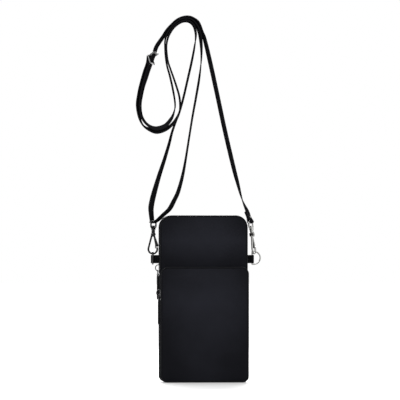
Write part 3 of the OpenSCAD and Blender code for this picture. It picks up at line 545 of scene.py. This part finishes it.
def metal(name, color, rough, coat=0.0):
    """Plated metal with fine scratches, smears and duller worn spots."""
    material, graph = new_material(name, color, rough, Metallic=1.0, Coat_Weight=coat,
                                   Coat_Roughness=0.08)
    place = graph.coords("Object")
    stretched = graph.put("Mapping", {"Vector": place, "Scale": (1.0, 1.0, 7.0)}).outputs[0]
    scratches = graph.noise(stretched, 1400.0, 4.0, 0.7)
    smears = graph.noise(place, 130.0, 4.0)
    dull = graph.mix(smears, 0.7, scratches)
    graph.roughen(dull, rough * 0.7, rough + 0.12, start=0.35)
    graph.shade(color, dull, 0.84, 1.06)
    graph.bump((scratches, 0.012, 0.25), (graph.noise(place, 420.0, 2.0), 0.02, 0.2))
    return material


def moulded(name, color, rough, grain=0.05, gloss=0.5):
    """Moulded plastic or rubber with a fine grain and rubbed patches."""
    material, graph = new_material(name, color, rough, Specular_IOR_Level=gloss)
    place = graph.coords("Object")
    rubbed = graph.noise(place, 120.0, 4.0)
    graph.roughen(rubbed, rough - 0.1, rough + 0.1)
    graph.shade(color, rubbed, 0.8, 1.3)
    graph.bump((graph.noise(place, 2600.0, 3.0), grain, 0.5))
    return material


# The shell cloth carries painted light over its upper middle
SHELL = cloth("shell_nylon", (0.0105, 0.0109, 0.0145), 0.45, sheen=0.004, gloss=0.03, painted_light=0.7)
BINDING = cloth("edge_binding", (0.0045, 0.0046, 0.0058), 0.5, pitch=0.5, depth=0.03,
                sheen=0.001, gloss=0.05)
LINING = cloth("lining_cloth", (0.03, 0.031, 0.036), 0.7, pitch=0.3, depth=0.03, sheen=0.05)
FOAM = cloth("padding_foam", (0.52, 0.51, 0.48), 0.9, pitch=1.1, depth=0.15, sheen=0.0,
             variation=0.1)
TAPE = cloth("zip_tape", (0.006, 0.006, 0.0075), 0.65, pitch=0.6, depth=0.08, sheen=0.01,
             gloss=0.12)
THREAD = cloth("sewing_thread", (0.012, 0.012, 0.015), 0.6, pitch=0.2, depth=0.02, sheen=0.05)
STRAP_THREAD = cloth("strap_thread", (0.05, 0.05, 0.055), 0.6, pitch=0.2, depth=0.02, sheen=0.05)
WEBBING = webbing_material("strap_webbing", (0.0078, 0.0078, 0.009), 10.6)
TAB_WEBBING = webbing_material("tab_webbing", (0.0075, 0.0075, 0.0088), 9.7)
TEETH = moulded("zip_teeth", (0.012, 0.012, 0.014), 0.38, grain=0.02)
PULL = moulded("pull_rubber", (0.0035, 0.0035, 0.0042), 0.5, gloss=0.12)
BRIGHT = metal("bright_nickel", (0.3, 0.3, 0.29), 0.2)
# Nickel with painted shade: darker than the bright nickel, standing in for dark reflections
SHADED_NICKEL = metal("nickel_painted_shade", (0.11, 0.11, 0.11), 0.25, coat=0.3)
DARK = metal("dark_nickel", (0.016, 0.016, 0.017), 0.3, coat=0.2)
SPRING = metal("spring_steel", (0.3, 0.3, 0.31), 0.35)


# ------------------------ bag: panels
# Depth over which a panel rises from its seam and over which it fills out, and its dents' sizes
SEAM_RISE, FILL_OUT, LARGE_DENT, SMALL_DENT = 1.5, 14, 34.0, 15.0


def panel_bulge(dome, middle_z, reach_z, seam=0.75, dents=0.25, seed=0.0, start=0.0):
    """A panel's crown: tight at the seam, full in the middle, with the cloth's slow dents."""
    def rise(x, z, depth):
        lip = seam * (1 - math.exp(-depth / SEAM_RISE))
        fade = smooth(0, FILL_OUT, depth)
        across = 1 - (x / HALF) ** 2 * 0.6
        full = dome * fade * across * math.exp(-((z - middle_z) / reach_z) ** 2)
        slow = soft_noise(x + seed, seed, z, LARGE_DENT)
        slow += 0.5 * soft_noise(x, seed + 5, z, SMALL_DENT)
        return start + lip + full + dents * fade * slow
    return rise


def place_piece(piece, body, slot_name, *nodes):
    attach(piece, body)
    if nodes:
        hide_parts(*nodes)
    return piece


def across_fold(piece, body, slot_name, *nodes):
    """Bakes a sewn piece that lies over the main or pocket flap's fold into place, and hides the
    CAD nodes it replaces.
    """
    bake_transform(piece)
    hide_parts(*nodes)
    return piece


# How far inside the seam's outline each sheet ends
SHELL_IN, PAD_IN, LINING_IN = 1.55, 2.55, 2.45
# How far each sheet's edge lies behind the seam's face
SHELL_BACK, PAD_BACK, BACK_LINING_BACK, LINING_BACK = 0.7, 0.95, 2.75, 1.75
# Heights with closer rows, round the flaps' folds
MAIN_DENSE, POCKET_DENSE = ((125, 150),), ((98, 110),)

back = panel("back_shell", SHELL, BAG_H, TOP_R, SHELL_IN, BACK_Y - SHELL_BACK, -CLOTH_T,
             panel_bulge(1.3, 90, 90, seed=31.0))
place_piece(back, "root", "shell_cloth", "back_panel")

pad = panel("back_pad", FOAM, BAG_H, TOP_R, PAD_IN, BACK_Y - PAD_BACK, -1.3,
            panel_bulge(0.35, 90, 90, 0.1, 0.1, 7.0))
place_piece(pad, "root", "padding", "back_padding")

main_front = panel("main_front_shell", SHELL, BAG_H, TOP_R, SHELL_IN, FRONT_Y + SHELL_BACK,
                   CLOTH_T, panel_bulge(2.0, 161, 24, dents=0.3, seed=3.0), MAIN_DENSE)
across_fold(main_front, "main_flap", "shell_cloth", "divider_panel", "main_flap_panel")

pocket_front = panel("pocket_front_shell", SHELL, POCKET_H, POCKET_R, SHELL_IN,
                     POCKET_Y + SHELL_BACK, CLOTH_T,
                     panel_bulge(3.4, 74, 58, dents=0.38, seed=12.0), POCKET_DENSE)
across_fold(pocket_front, "pocket_flap", "shell_cloth", "pocket_panel", "pocket_flap_panel")

# Linings: thin cloth that hangs a little loose behind each panel
back_lining = panel("back_lining_cloth", LINING, BAG_H, TOP_R, LINING_IN,
                    BACK_Y - BACK_LINING_BACK, -0.2, panel_bulge(0.1, 90, 90, 0.05, 0.12, 50.0))
place_piece(back_lining, "root", "lining_cloth", "back_lining")
main_lining = panel("main_front_lining", LINING, BAG_H, TOP_R, LINING_IN, FRONT_Y + LINING_BACK,
                    -0.25, panel_bulge(-0.3, 160, 26, 0.05, 0.12, 60.0, -0.5), MAIN_DENSE)
across_fold(main_lining, "main_flap", "lining_cloth", "divider_lining", "main_flap_lining")
pocket_lining = panel("pocket_front_lining", LINING, POCKET_H, POCKET_R, LINING_IN,
                      POCKET_Y + LINING_BACK, -0.25,
                      panel_bulge(-0.6, 72, 60, 0.05, 0.12, 70.0, -0.5), POCKET_DENSE)
across_fold(pocket_lining, "pocket_flap", "lining_cloth", "pocket_lining", "pocket_flap_lining")

# Rolled seams
place_piece(piping("back_edge_piping", BAG_H, TOP_R, BACK_Y - SEAM_R), "root", "edge_binding",
            "back_piping")
across_fold(piping("main_front_edge_piping", BAG_H, TOP_R, FRONT_Y + SEAM_R), "main_flap",
            "edge_binding", "main_front_piping", "main_flap_piping")
across_fold(piping("pocket_edge_piping", POCKET_H, POCKET_R, POCKET_Y + SEAM_R), "pocket_flap",
            "edge_binding", "pocket_piping", "pocket_flap_piping")


# ------------------------ bag: sides and zips
def gusset_section(low, high, inset, thick, sag):
    """A band's section between two seams, drawn in by sag at its middle."""
    shares = [i / 8 for i in range(9)]
    outer = [(inset + sag * math.sin(math.pi * s), low + (high - low) * s) for s in shares]
    inner = [(a + thick, y) for a, y in reversed(outer)]
    return outer + inner


def tape_section(seam_y, chain_y):
    """Zip tape from a folded cloth edge at the seam to the teeth."""
    side = 1 if chain_y > seam_y else -1
    width = abs(chain_y - seam_y)
    fold = min(3.4, width * 0.55)
    outer = [(1.0, 0.0), (0.92, fold * 0.5), (0.95, fold - 0.2), (1.12, fold),
             (1.25, fold + 0.15), (1.25, width)]
    inner = [(1.8, width), (1.8, 0.0)]
    points = [(a, seam_y + side * d) for a, d in outer + inner]
    return points if side > 0 else points[::-1]


def fold_rows(path, folds):
    """Adds points to the path near the fold heights on the sides."""
    out = [path[0]]
    for p, q in zip(path, path[1:]):
        low, high = sorted((p[1], q[1]))
        if p[0] == q[0] and any(low - 5 < f < high + 5 for f in folds):
            n = max(1, round(high - low))
            out += [tuple(a + (b - a) * i / n for a, b in zip(p, q)) for i in range(1, n)]
        out.append(q)
    return out


# How far a zip's tapes and its rows of teeth start from its middle
TAPE_OFF, TEETH_OFF = 2.05, 1.2


def compartment(prefix, height, top_r, zip_l, zip_r, folds, front_y, back_y, zip_y, body):
    """The side band, both zip tapes and both rows of teeth of one compartment."""
    under = fold_rows(outline(height, top_r, zip_l, zip_r, False), folds)
    builder = Builder()
    band(builder, under, gusset_section(front_y, back_y, SEAM_R, CLOTH_T, 0.35), 0.25)
    gusset = builder.make(prefix + "_side_band", SHELL)
    place_piece(gusset, "root", "shell_cloth", prefix + "_gusset")

    over = fold_rows(outline(height, top_r, zip_l + 0.1, zip_r + 0.1, True, 3.0), folds)
    builder = Builder()
    band(builder, over, tape_section(front_y, zip_y - TAPE_OFF), 0.08)
    front = builder.make(prefix + "_front_tape", TAPE)
    across_fold(front, body, "zip_tape", prefix + "_zip_tape_front")
    builder = Builder()
    band(builder, over, tape_section(back_y, zip_y + TAPE_OFF), 0.08)
    rear = builder.make(prefix + "_rear_tape", TAPE)
    place_piece(rear, "root", "zip_tape", prefix + "_zip_tape_rear")

    front_teeth = teeth(prefix + "_front_teeth", over, zip_y - TEETH_OFF, 1)
    across_fold(front_teeth, body, "zip_teeth", prefix + "_zip_chain_front")
    rear_teeth = teeth(prefix + "_rear_teeth", over, zip_y + TEETH_OFF, -1)
    place_piece(rear_teeth, "root", "zip_teeth", prefix + "_zip_chain_rear")


compartment("main", BAG_H, TOP_R, ZIP_L, ZIP_R, (FOLD_L, FOLD_R), -19.0, -1.0, MAIN_ZIP_Y,
            "main_flap")
compartment("pocket", POCKET_H, POCKET_R, POCKET_ZIP, POCKET_ZIP, (POCKET_FOLD,), -35.0, -21.2,
            POCKET_ZIP_Y, "pocket_flap")

builder = Builder()
band(builder, outline(BAG_H, TOP_R, 117.0, 117.0, False),
     gusset_section(-18.6, -3.9, 1.9, 0.3, 0.2), 0.15)
place_piece(builder.make("main_side_lining", LINING), "root", "lining_cloth",
            "main_gusset_lining")


# ------------------------ zip pulls
# Distances down from the middle of a pull's eye, and the heights of the two eyes
PULL_START, PULL_END = 0.75, 27.8
GRIP_START, GRIP_END, GRIP_PITCH = 17.5, 25.5, 1.6
FOOT = 2.3
MAIN_EYE_Z, POCKET_EYE_Z = -280.582, -308.082
PULL_ROWS, PULL_SIDES = 57, 20
# The eye's radius, and half of its wall's thickness and width
EYE_R, EYE_WALL, EYE_HALF = 0.83, 0.27, 1.05


def pull_size(d):
    """Half width and half thickness of a pull at distance d below its eye."""
    ease = smooth(0.8, 3.6, d)
    wide = 1.1 + ease * 1.15 - 0.25 * math.exp(-((d - 11) / 5) ** 2)
    thick = 0.85 + ease * 0.2
    if GRIP_START < d < GRIP_END:
        rib = math.sin(2 * math.pi * (d - GRIP_START) / GRIP_PITCH)
        thick += 0.16 * max(rib, -0.2) - 0.05
        wide += 0.1
    if d > PULL_END - FOOT:
        rounding = 1 - (1 - (PULL_END - d) / FOOT) ** 2
        wide *= math.sqrt(max(rounding, 0.03))
        thick *= 0.55 + 0.45 * math.sqrt(max(rounding, 0.0))
    return wide, thick


def pull_tab(name, body, node, y, z):
    """A moulded pull: an eye on the link, a slim waist, grip ribs and a rounded foot."""
    low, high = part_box(node)
    x = (low.x + high.x) / 2 / MM
    rows, uvs = [], []
    for i in range(PULL_ROWS):
        d = PULL_START + (PULL_END - PULL_START) * i / (PULL_ROWS - 1)
        wide, thick = pull_size(d)
        rows.append([(x + thick * math.copysign(abs(s) ** 0.55, s),
                      y + wide * math.copysign(abs(c) ** 0.55, c), z - d)
                     for c, s in ring(1.0, PULL_SIDES)])
        uvs.append([(k / 2, d) for k in range(PULL_SIDES)])
    builder = Builder()
    builder.tube(rows, uvs, flip=True)
    rows = []
    for c, s in (cos_sin(a) for a in range(0, 360, 15)):
        section = [(EYE_R + EYE_WALL * a, EYE_HALF * b) for a, b in ring(1.0, 10)]
        rows.append([(x + r * c, y + across, z + r * s) for r, across in section])
    builder.tube(rows, closed=True, flip=True)
    return place_piece(builder.make(name, PULL), body, "pull_rubber", node)


pull_tab("main_pull_grip", "main_pull", "main_pull_tab", MAIN_ZIP_Y, MAIN_EYE_Z)
pull_tab("pocket_pull_grip", "pocket_pull", "pocket_pull_tab", POCKET_ZIP_Y, POCKET_EYE_Z)


# ------------------------ side tabs
TAB_W, TAB_T, TAB_Z = 9.2, 1.05, BAG_Z + 136.3
# The rings' bars, and the radius of the webbing's middle round them
LEFT_BAR_X, RIGHT_BAR_X, BAR_R = -35.584, 75.616, 1.5
# The webbing's middle on its way from the seam to the ring's bar: outward from the bar, and depth
TAB_SIDE = ((-6.9, -0.56), (-5.6, -0.57), (-4.2, -0.62), (-2.9, -0.85), (-1.9, -1.18),
            (-0.9, -1.46))
# The sewn square: its ends inward from the bar, half its height, and its face's depth
SQUARE_NEAR, SQUARE_FAR, SQUARE_UP, SQUARE_FACE, SQUARE_LIFT = 3.3, 6.0, 3.4, 1.18, 0.25


def side_tab(name, node, bar_x, side):
    """Webbing folded round a ring's bar and sewn into the side seam."""
    arc = [(BAR_R * c, BAR_R * s) for c, s in (cos_sin(a) for a in range(-90, 91, 18))]
    flat = list(TAB_SIDE) + arc + [(a, -b) for a, b in reversed(TAB_SIDE)]
    path = [np.array((bar_x + side * a, b, TAB_Z)) for a, b in flat]
    stations = []
    for i, p in enumerate(path):
        run = unit(path[min(i + 1, len(path) - 1)] - path[max(i - 1, 0)])
        stations.append((p, UP, np.cross(run, UP)))
    builder = Builder()
    sweep(builder, stations, plate(TAB_W, TAB_T, 0.4))
    place_piece(builder.make(name, TAB_WEBBING), "root", "webbing", node)

    near, far = bar_x - side * SQUARE_NEAR, bar_x - side * SQUARE_FAR
    low, high = TAB_Z - SQUARE_UP, TAB_Z + SQUARE_UP
    corners = [(near, low), (near, high), (far, high), (far, low), (near, low)]
    lines = []
    for y in (-1, 1):
        lines.append([((x, y * SQUARE_FACE + (SQUARE_LIFT * y if x == near else 0), z), (0, y, 0))
                      for x, z in corners])
    thread = stitches(name + "_thread", THREAD, lines, 1.2, 1.7, 0.14)
    place_piece(thread, "root", "webbing")


side_tab("left_side_tab", "left_tab", LEFT_BAR_X, -1)
side_tab("right_side_tab", "right_tab", RIGHT_BAR_X, 1)


# ------------------------ strap
# The strap's route, as in the CAD model: shares of the rings' spacing, of the webbing's width and
# of the strap's fall, then the webbing's turn about the vertical and its tilt out of the level,
# in degrees.
RING_GAP, STRAP_W, STRAP_FALL, STRAP_T = 111.2, 10.0, 215.0, 1.3
RIGHT_LEG = [(0.579, 0, -0.917, 4), (0.532, 0, -0.828, -13), (0.487, 0, -0.739, -19),
             (0.4045, 0, -0.557, -20), (0.335, 0, -0.389, -20), (0.256, 0, -0.202, -20),
             (0.203, 0, -0.088, -17)]
OUTER_CROWN = [(0.174, 0, -0.049, -14, -4), (0.138, 0, -0.001, -9, -8),
               (0.083, 0, 0.0215, -3, -10), (0.031, 0, 0.029, 0, -10),
               (-0.029, 0, 0.0245, 1, -10), (-0.085, 0, 0.0095, 5, -9),
               (-0.141, -0.02, -0.019, 11, -8), (-0.182, -0.08, -0.045, 16, -6),
               (-0.217, -0.2, -0.076, 22, -3), (-0.25, -0.36, -0.1, 26)]
RUN_TOP, RUN_END = (-0.285, -0.5, -0.128, 27), (-0.371, -0.5, -0.256, 27)
INNER_LOOP = [(-0.391, -0.52, -0.29, 25), (-0.413, -0.55, -0.326, 22),
              (-0.431, -0.58, -0.365, 20), (-0.448, -0.6, -0.426, 17),
              (-0.434, -0.6, -0.486, 14, 8), (-0.381, -0.6, -0.528, 8, 13),
              (-0.298, -0.6, -0.55, 2, 24), (-0.205, -0.6, -0.538, 0, 25),
              (-0.143, -0.6, -0.504, -1, 24), (-0.109, -0.58, -0.465, 3, 13),
              (-0.098, -0.55, -0.422, 8), (-0.121, -0.48, -0.345, 11), (-0.15, -0.36, -0.277, 11),
              (-0.171, -0.28, -0.238, 10), (-0.184, -0.2, -0.205, 9), (-0.193, -0.12, -0.166, 8),
              (-0.197, -0.06, -0.124, 7)]
MIDDLE_CROWN = [(-0.196, -0.02, -0.098, 7), (-0.183, 0, -0.07, 8, -3), (-0.145, 0, -0.037, 9, -6),
                (-0.095, 0, -0.008, 5, -9), (-0.037, 0, 0.0135, 1, -10),
                (0.027, 0, 0.0185, 0, -10), (0.081, 0, 0.0085, -3, -9),
                (0.121, 0, -0.016, -8, -7), (0.147, 0, -0.047, -13, -4), (0.161, 0, -0.08, -14)]
FRONT_LEG = [(0.17, 0, -0.139, -6), (0.1665, 0, -0.208, 3), (0.1455, 0, -0.298, 12),
             (0.1125, 0, -0.397, 12), (0.0795, 0, -0.491, 11), (0.046, 0, -0.598, 10.5),
             (0.01, 0, -0.715, 13), (-0.019, -0.02, -0.793, 19), (-0.063, -0.08, -0.876, 26),
             (-0.109, -0.16, -0.927, 30), (-0.153, -0.26, -0.967, 32),
             (-0.212, -0.33, -0.996, 32), (-0.266, -0.35, -1.022, 31)]
REAR_LEG = [(-0.335, -0.21, -0.99, 33), (-0.336, -0.2, -0.955, 37), (-0.313, -0.14, -0.898, 36),
            (-0.256, 0, -0.797, 28), (-0.2, 0.2, -0.71, 22), (-0.153, 0.4, -0.63, 17),
            (-0.119, 0.58, -0.565, 13), (-0.082, 0.7, -0.512, 11), (-0.05, 0.7, -0.47, 11),
            (-0.0105, 0.62, -0.397, 12), (0.0385, 0.36, -0.285, 12), (0.0755, 0.14, -0.197, 12)]
INNER_CROWN = [(0.1025, 0.03, -0.12, 8), (0.114, 0, -0.07, -3), (0.108, 0, -0.041, -5, -5),
               (0.095, 0, -0.02, -4, -8), (0.071, 0, -0.0035, -1, -10), (0.04, 0, 0.0055, 0, -10)]
AFTER_APEX = [(-0.045, 0, -0.001, 1, -10), (-0.103, 0, -0.024, 5, -8), (-0.147, 0, -0.057, 8, -5),
              (-0.171, 0, -0.088, 9, -2), (-0.1815, -0.06, -0.124, 8)]
OUTER_LOOP = [(-0.177, -0.12, -0.166, 8), (-0.166, -0.2, -0.205, 9), (-0.137, -0.3, -0.251, 10),
              (-0.097, -0.4, -0.311, 11), (-0.058, -0.5, -0.378, 11), (-0.048, -0.55, -0.425, 10),
              (-0.056, -0.58, -0.46, 5, 6), (-0.082, -0.6, -0.495, 1, 13),
              (-0.132, -0.6, -0.531, 0, 18), (-0.2, -0.6, -0.557, 0, 20),
              (-0.285, -0.6, -0.568, 2, 23), (-0.36, -0.6, -0.555, 5, 19),
              (-0.421, -0.6, -0.533, 8, 3), (-0.459, -0.6, -0.488, 14, 8),
              (-0.476, -0.58, -0.43, 18), (-0.461, -0.56, -0.373, 20),
              (-0.441, -0.55, -0.329, 23)]
LEFT_EYE, RIGHT_EYE = np.array((-34.7005, -2.15, -221.562)), np.array((73.6529, 0, -221.802))
LEFT_TURN, RIGHT_TURN = 30.0, 24.0
CROWN_TILT = 10.0
APEX_Z = (STRAP_T + STRAP_W * math.sin(math.radians(CROWN_TILT))) / 2
APEX = np.array((0, 0, APEX_Z, 0, -CROWN_TILT))
# Radii of the folds round an eye and round the buckle's bar, one layer of webbing with its gap,
# and how far the flap and the bar stand off the run
EYE_FOLD, BAR_FOLD, LAYER, FLAP_OFF = 1.7, 1.6, 1.5, 1.6
BAR_OFF = FLAP_OFF + BAR_FOLD
# The buckle's place as a share of the straight run, and the tail's start down from it
BUCKLE_AT, TAIL_START = 0.44, 13
# Heights of the right leg's end and of its bend over the right eye
FOLD_TOP, FOLD_LEVEL = 12.4, 5
STEPS = 6


def place(s):
    """A point of the route in millimetres, with its turn and tilt."""
    turn, tilt = (tuple(s[3:]) + (0, 0))[:2]
    return np.array((s[0] * RING_GAP, s[1] * STRAP_W, s[2] * STRAP_FALL, turn, tilt), float)


def cross_axis(turn, tilt, run):
    """The axis across the webbing, square to its run."""
    c, s = cos_sin(turn)
    h = np.array((s, c, math.tan(math.radians(tilt))))
    return unit(h - (h @ run) * run)


def across_eye(turn):
    c, s = cos_sin(turn)
    return np.array((c, -s, 0))


run_top, run_end = place(RUN_TOP), place(RUN_END)
run_dir = unit(run_end[:3] - run_top[:3])
run_side = np.cross(cross_axis(run_top[3], 0, run_dir), run_dir)
buckle_at = run_top + (run_end - run_top) * BUCKLE_AT
leg_dir = unit(place(RIGHT_LEG[0])[:3] - RIGHT_EYE)
right_across, left_across = across_eye(RIGHT_TURN), across_eye(LEFT_TURN)
leg_side = unit(right_across - (right_across @ leg_dir) * leg_dir)


def beside(down, off):
    """A point down from the buckle's bar along the run and off its face."""
    return np.append(buckle_at[:3] + down * run_dir + off * run_side, (run_top[3], 0))


def at_right_eye(side, up):
    return np.append(RIGHT_EYE + side * leg_side + up * leg_dir, (RIGHT_TURN, 0))


def at_left_eye(turn):
    c, s = cos_sin(turn)
    return np.append(LEFT_EYE + EYE_FOLD * (c * left_across + s * UP), (LEFT_TURN, 0))


right_fold = [at_right_eye(-LAYER / 2, up) for up in (FOLD_TOP, 9.3, FOLD_LEVEL)]
right_fold += [at_right_eye(EYE_FOLD * c, EYE_FOLD * s)
               for c, s in (cos_sin(a) for a in range(180, 361, 45))]
right_fold += [at_right_eye(LAYER / 2, up) for up in (FOLD_LEVEL, FOLD_TOP)]
left_fold = [at_left_eye(a) for a in range(-45, -181, -45)]
straight_run = [run_top + (run_end - run_top) * share for share in (0, 0.25, 0.7, 1)]
tail = [beside(18, LAYER + PLAY + STRAP_T), beside(TAIL_START, LAYER + FLAP_OFF)]
tail_end = [beside(8, LAYER + FLAP_OFF), beside(3.5, LAYER + FLAP_OFF + LAYER / 2)]
tail_end += [beside(-BAR_FOLD * s, BAR_OFF + BAR_FOLD * c)
             for c, s in (cos_sin(a) for a in range(0, 181, 45))]
tail_end += [beside(4.5, FLAP_OFF), beside(9, FLAP_OFF)]
main_run = right_fold + [place(s) for s in RIGHT_LEG + OUTER_CROWN] + straight_run
main_run += [place(s) for s in INNER_LOOP + MIDDLE_CROWN + FRONT_LEG] + left_fold
main_run += [place(s) for s in REAR_LEG + INNER_CROWN] + [APEX]
main_run += [place(s) for s in AFTER_APEX + OUTER_LOOP]


def curve(points, steps):
    """A smooth curve through the points, with steps to each span."""
    out = []
    for i in range(len(points) - 1):
        a, b = points[max(i - 1, 0)], points[i]
        c, d = points[i + 1], points[min(i + 2, len(points) - 1)]
        for t in (k / steps for k in range(steps)):
            out.append((2 * b + (c - a) * t + (2 * a - 5 * b + 4 * c - d) * t * t
                        + (3 * b - a - 3 * c + d) * t ** 3) / 2)
    out.append(points[-1])
    return out


line = curve(main_run + tail + tail_end, STEPS)


def ribbon(name, first, last):
    """The webbing from one step of the route to another."""
    stations = []
    for i in range(first, last + 1):
        run = unit(line[min(i + 1, len(line) - 1)][:3] - line[max(i - 1, 0)][:3])
        across = cross_axis(line[i][3], line[i][4], run)
        stations.append((line[i][:3], across, np.cross(run, across)))
    builder = Builder()
    sweep(builder, stations, plate(STRAP_W, STRAP_T, 0.42), uv_start=first * 1.3)
    return builder.make(name, WEBBING)


tail_start = len(main_run) * STEPS
strap = ribbon("strap_webbing", 0, tail_start)
place_piece(strap, "root", "webbing", "strap_right_leg", "strap_outer_crown", "strap_inner_loop",
            "strap_middle_crown", "strap_left_legs", "strap_inner_crown", "strap_outer_loop")
sewn_end = ribbon("strap_sewn_end", tail_start, len(line) - 1)
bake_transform(sewn_end)
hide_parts("strap_tail", "strap_tail_end")


# How far each row of stitches lies from the webbing's middle, and the thread's gap to its face
ROW_OFF, ROW_LIFT = 3.7, 0.02


def sewn_rows(name, body, origin, along, normal, first, last, turn):
    """Two rows of stitches along a folded strap end, on the side that normal points to."""
    across = cross_axis(turn, 0, along)
    face = origin + (STRAP_T / 2 + ROW_LIFT) * normal
    rows = [[(face + up * along + w * across, normal) for up in (first, last)]
            for w in (-ROW_OFF, ROW_OFF)]
    thread = stitches(name, STRAP_THREAD, rows, 1.3, 1.9, 0.15)
    place_piece(thread, body, "webbing")


sewn_rows("right_fold_thread", "root", RIGHT_EYE + LAYER / 2 * leg_side, leg_dir, leg_side,
          3.5, 12.2, RIGHT_TURN)
sewn_rows("tail_end_thread", "adjuster", beside(0, LAYER + FLAP_OFF)[:3], run_dir, run_side,
          8.2, 12.6, run_top[3])


# ------------------------ hardware
FINISH = {"bright_nickel": BRIGHT, "dark_nickel": DARK, "spring_steel": SPRING}
# The buckle takes the nickel with painted shade
OTHER_FINISH = {"adjuster_buckle": SHADED_NICKEL, "left_d_ring": DARK, "main_zip_slider": DARK,
                "pocket_zip_slider": DARK, "main_pull_link": DARK, "pocket_pull_link": DARK}
for row in frame["record"]["subparts"]:
    material = OTHER_FINISH.get(row["node"]) or FINISH.get(row["material_slot"])
    if material:
        node = frame["nodes"][row["node"]]
        node.data.materials.clear()
        node.data.materials.append(material)


# ------------------------ floor, light and camera
# The bag's foot and the object's middle, and the distances from the foot between which the
# floor's glow rises, in metres; the lower glow near the foot is painted shade
BAG_FOOT, MIDDLE = (0.02, -0.02, -0.4), (0.02, -0.02, -0.22)
GLOW_START, GLOW_END = 0.2, 0.6
FLOOR_GLOSS = (0.27, 0.27, 0.27, 1)
# The world's strength as a light and as it shows
WORLD_LIGHT, WORLD_SHOWN = 0.45, 1.0


def seen_rays(graph):
    """1 on the camera's own rays and on those it sends through mirrors and glass, else 0."""
    rays = graph.put("LightPath").outputs
    return graph.math("MAXIMUM", rays["Is Camera Ray"],
                      graph.math("MAXIMUM", rays["Is Glossy Ray"], rays["Is Transmission Ray"]))


def stage_material(name, color, near, far):
    """White paper: it takes the object's shadow near the object, where its lower glow adds
    painted shade, and fades into the white background. near and far are its glow under the
    bag and well away from it."""
    material, graph = new_material(name, color, 0.9, Specular_IOR_Level=0.0)
    away = graph.put("VectorMath", {0: graph.coords("Object"), 1: BAG_FOOT},
                     operation="DISTANCE").outputs["Value"]
    # Painted shade: the glow is lower near the bag's foot
    rise = graph.ramp(away, GLOW_START, GLOW_END, near, far)
    strength = graph.times(seen_rays(graph), rise)
    glow = graph.put("Emission", {"Color": (1, 1, 1, 1), "Strength": strength})
    gloss = graph.put("BsdfGlossy", {"Color": FLOOR_GLOSS, "Roughness": 0.5})
    both = graph.put("AddShader", {0: graph.shader.outputs[0], 1: glow.outputs[0]})
    both = graph.put("AddShader", {0: both.outputs[0], 1: gloss.outputs[0]})
    graph.links.new(both.outputs[0], graph.nodes["Material Output"].inputs["Surface"])
    return material


FLOOR_Z, FLOOR_HALF = -400.15, 9000
floor = make_mesh("floor", [(x * FLOOR_HALF, y * FLOOR_HALF, FLOOR_Z)
                            for x, y in ((-1, -1), (1, -1), (1, 1), (-1, 1))],
                  [(0, 1, 2, 3)], stage_material("floor_paper", (0.26, 0.26, 0.26), 0.28, 0.9))

world = bpy.data.worlds.new("studio")
bpy.context.scene.world = world
world.use_nodes = True
graph = Graph(world)
background = graph.nodes["Background"]
strength = graph.ramp(seen_rays(graph), 0.0, 1.0, WORLD_LIGHT, WORLD_SHOWN)
graph.links.new(strength, background.inputs["Strength"])
background.inputs["Color"].default_value = (1, 1, 1, 1)


def softbox(name, place_m, size, power):
    """A rectangular lamp that points at the object's middle."""
    data = bpy.data.lights.new(name, "AREA")
    data.shape = "RECTANGLE"
    data.size, data.size_y = size
    data.energy = power
    lamp = bpy.data.objects.new(name, data)
    lamp.location = place_m
    towards = Vector(MIDDLE) - Vector(place_m)
    lamp.rotation_euler = towards.to_track_quat("-Z", "Y").to_euler()
    bpy.context.scene.collection.objects.link(lamp)


softbox("key", (-0.7, -1.1, 0.75), (0.9, 0.9), 14)
softbox("fill", (1.2, -0.9, 0.1), (0.8, 1.2), 7)
softbox("top", (0.0, 0.45, 1.1), (1.1, 0.9), 12)
softbox("rim", (-0.05, 1.2, 0.35), (0.9, 0.8), 20)

# The photo's width in pixels, the bag's millimetres per pixel, the origin's column and row, and
# the rows that the camera aims at and stands level with
PHOTO, PX, ORIGIN_COLUMN, ORIGIN_ROW, AIM_ROW, EYE_ROW = 400, 1.114, 184.5, 23, 200.6, 230
YAW, DISTANCE, SENSOR = math.radians(-4.25), 5.0, 36
camera = bpy.data.objects.new("camera", bpy.data.cameras.new("camera"))
right = Vector((math.cos(YAW), math.sin(YAW), 0))
forward = Vector((-math.sin(YAW), math.cos(YAW), 0))
aim = right * (PHOTO / 2 - ORIGIN_COLUMN) * PX * MM
aim -= Vector((0, 0, (AIM_ROW - ORIGIN_ROW) * PX * MM))
camera.location = aim - forward * DISTANCE - Vector((0, 0, (EYE_ROW - PHOTO / 2) * PX * MM))
camera.rotation_euler = (aim - camera.location).to_track_quat("-Z", "Y").to_euler()
camera.data.sensor_width = SENSOR
camera.data.lens = SENSOR * DISTANCE / (PHOTO * PX * MM)
camera.data.clip_end = 20
bpy.context.scene.collection.objects.link(camera)
bpy.context.scene.camera = camera
bpy.context.scene.view_settings.view_transform = "Standard"
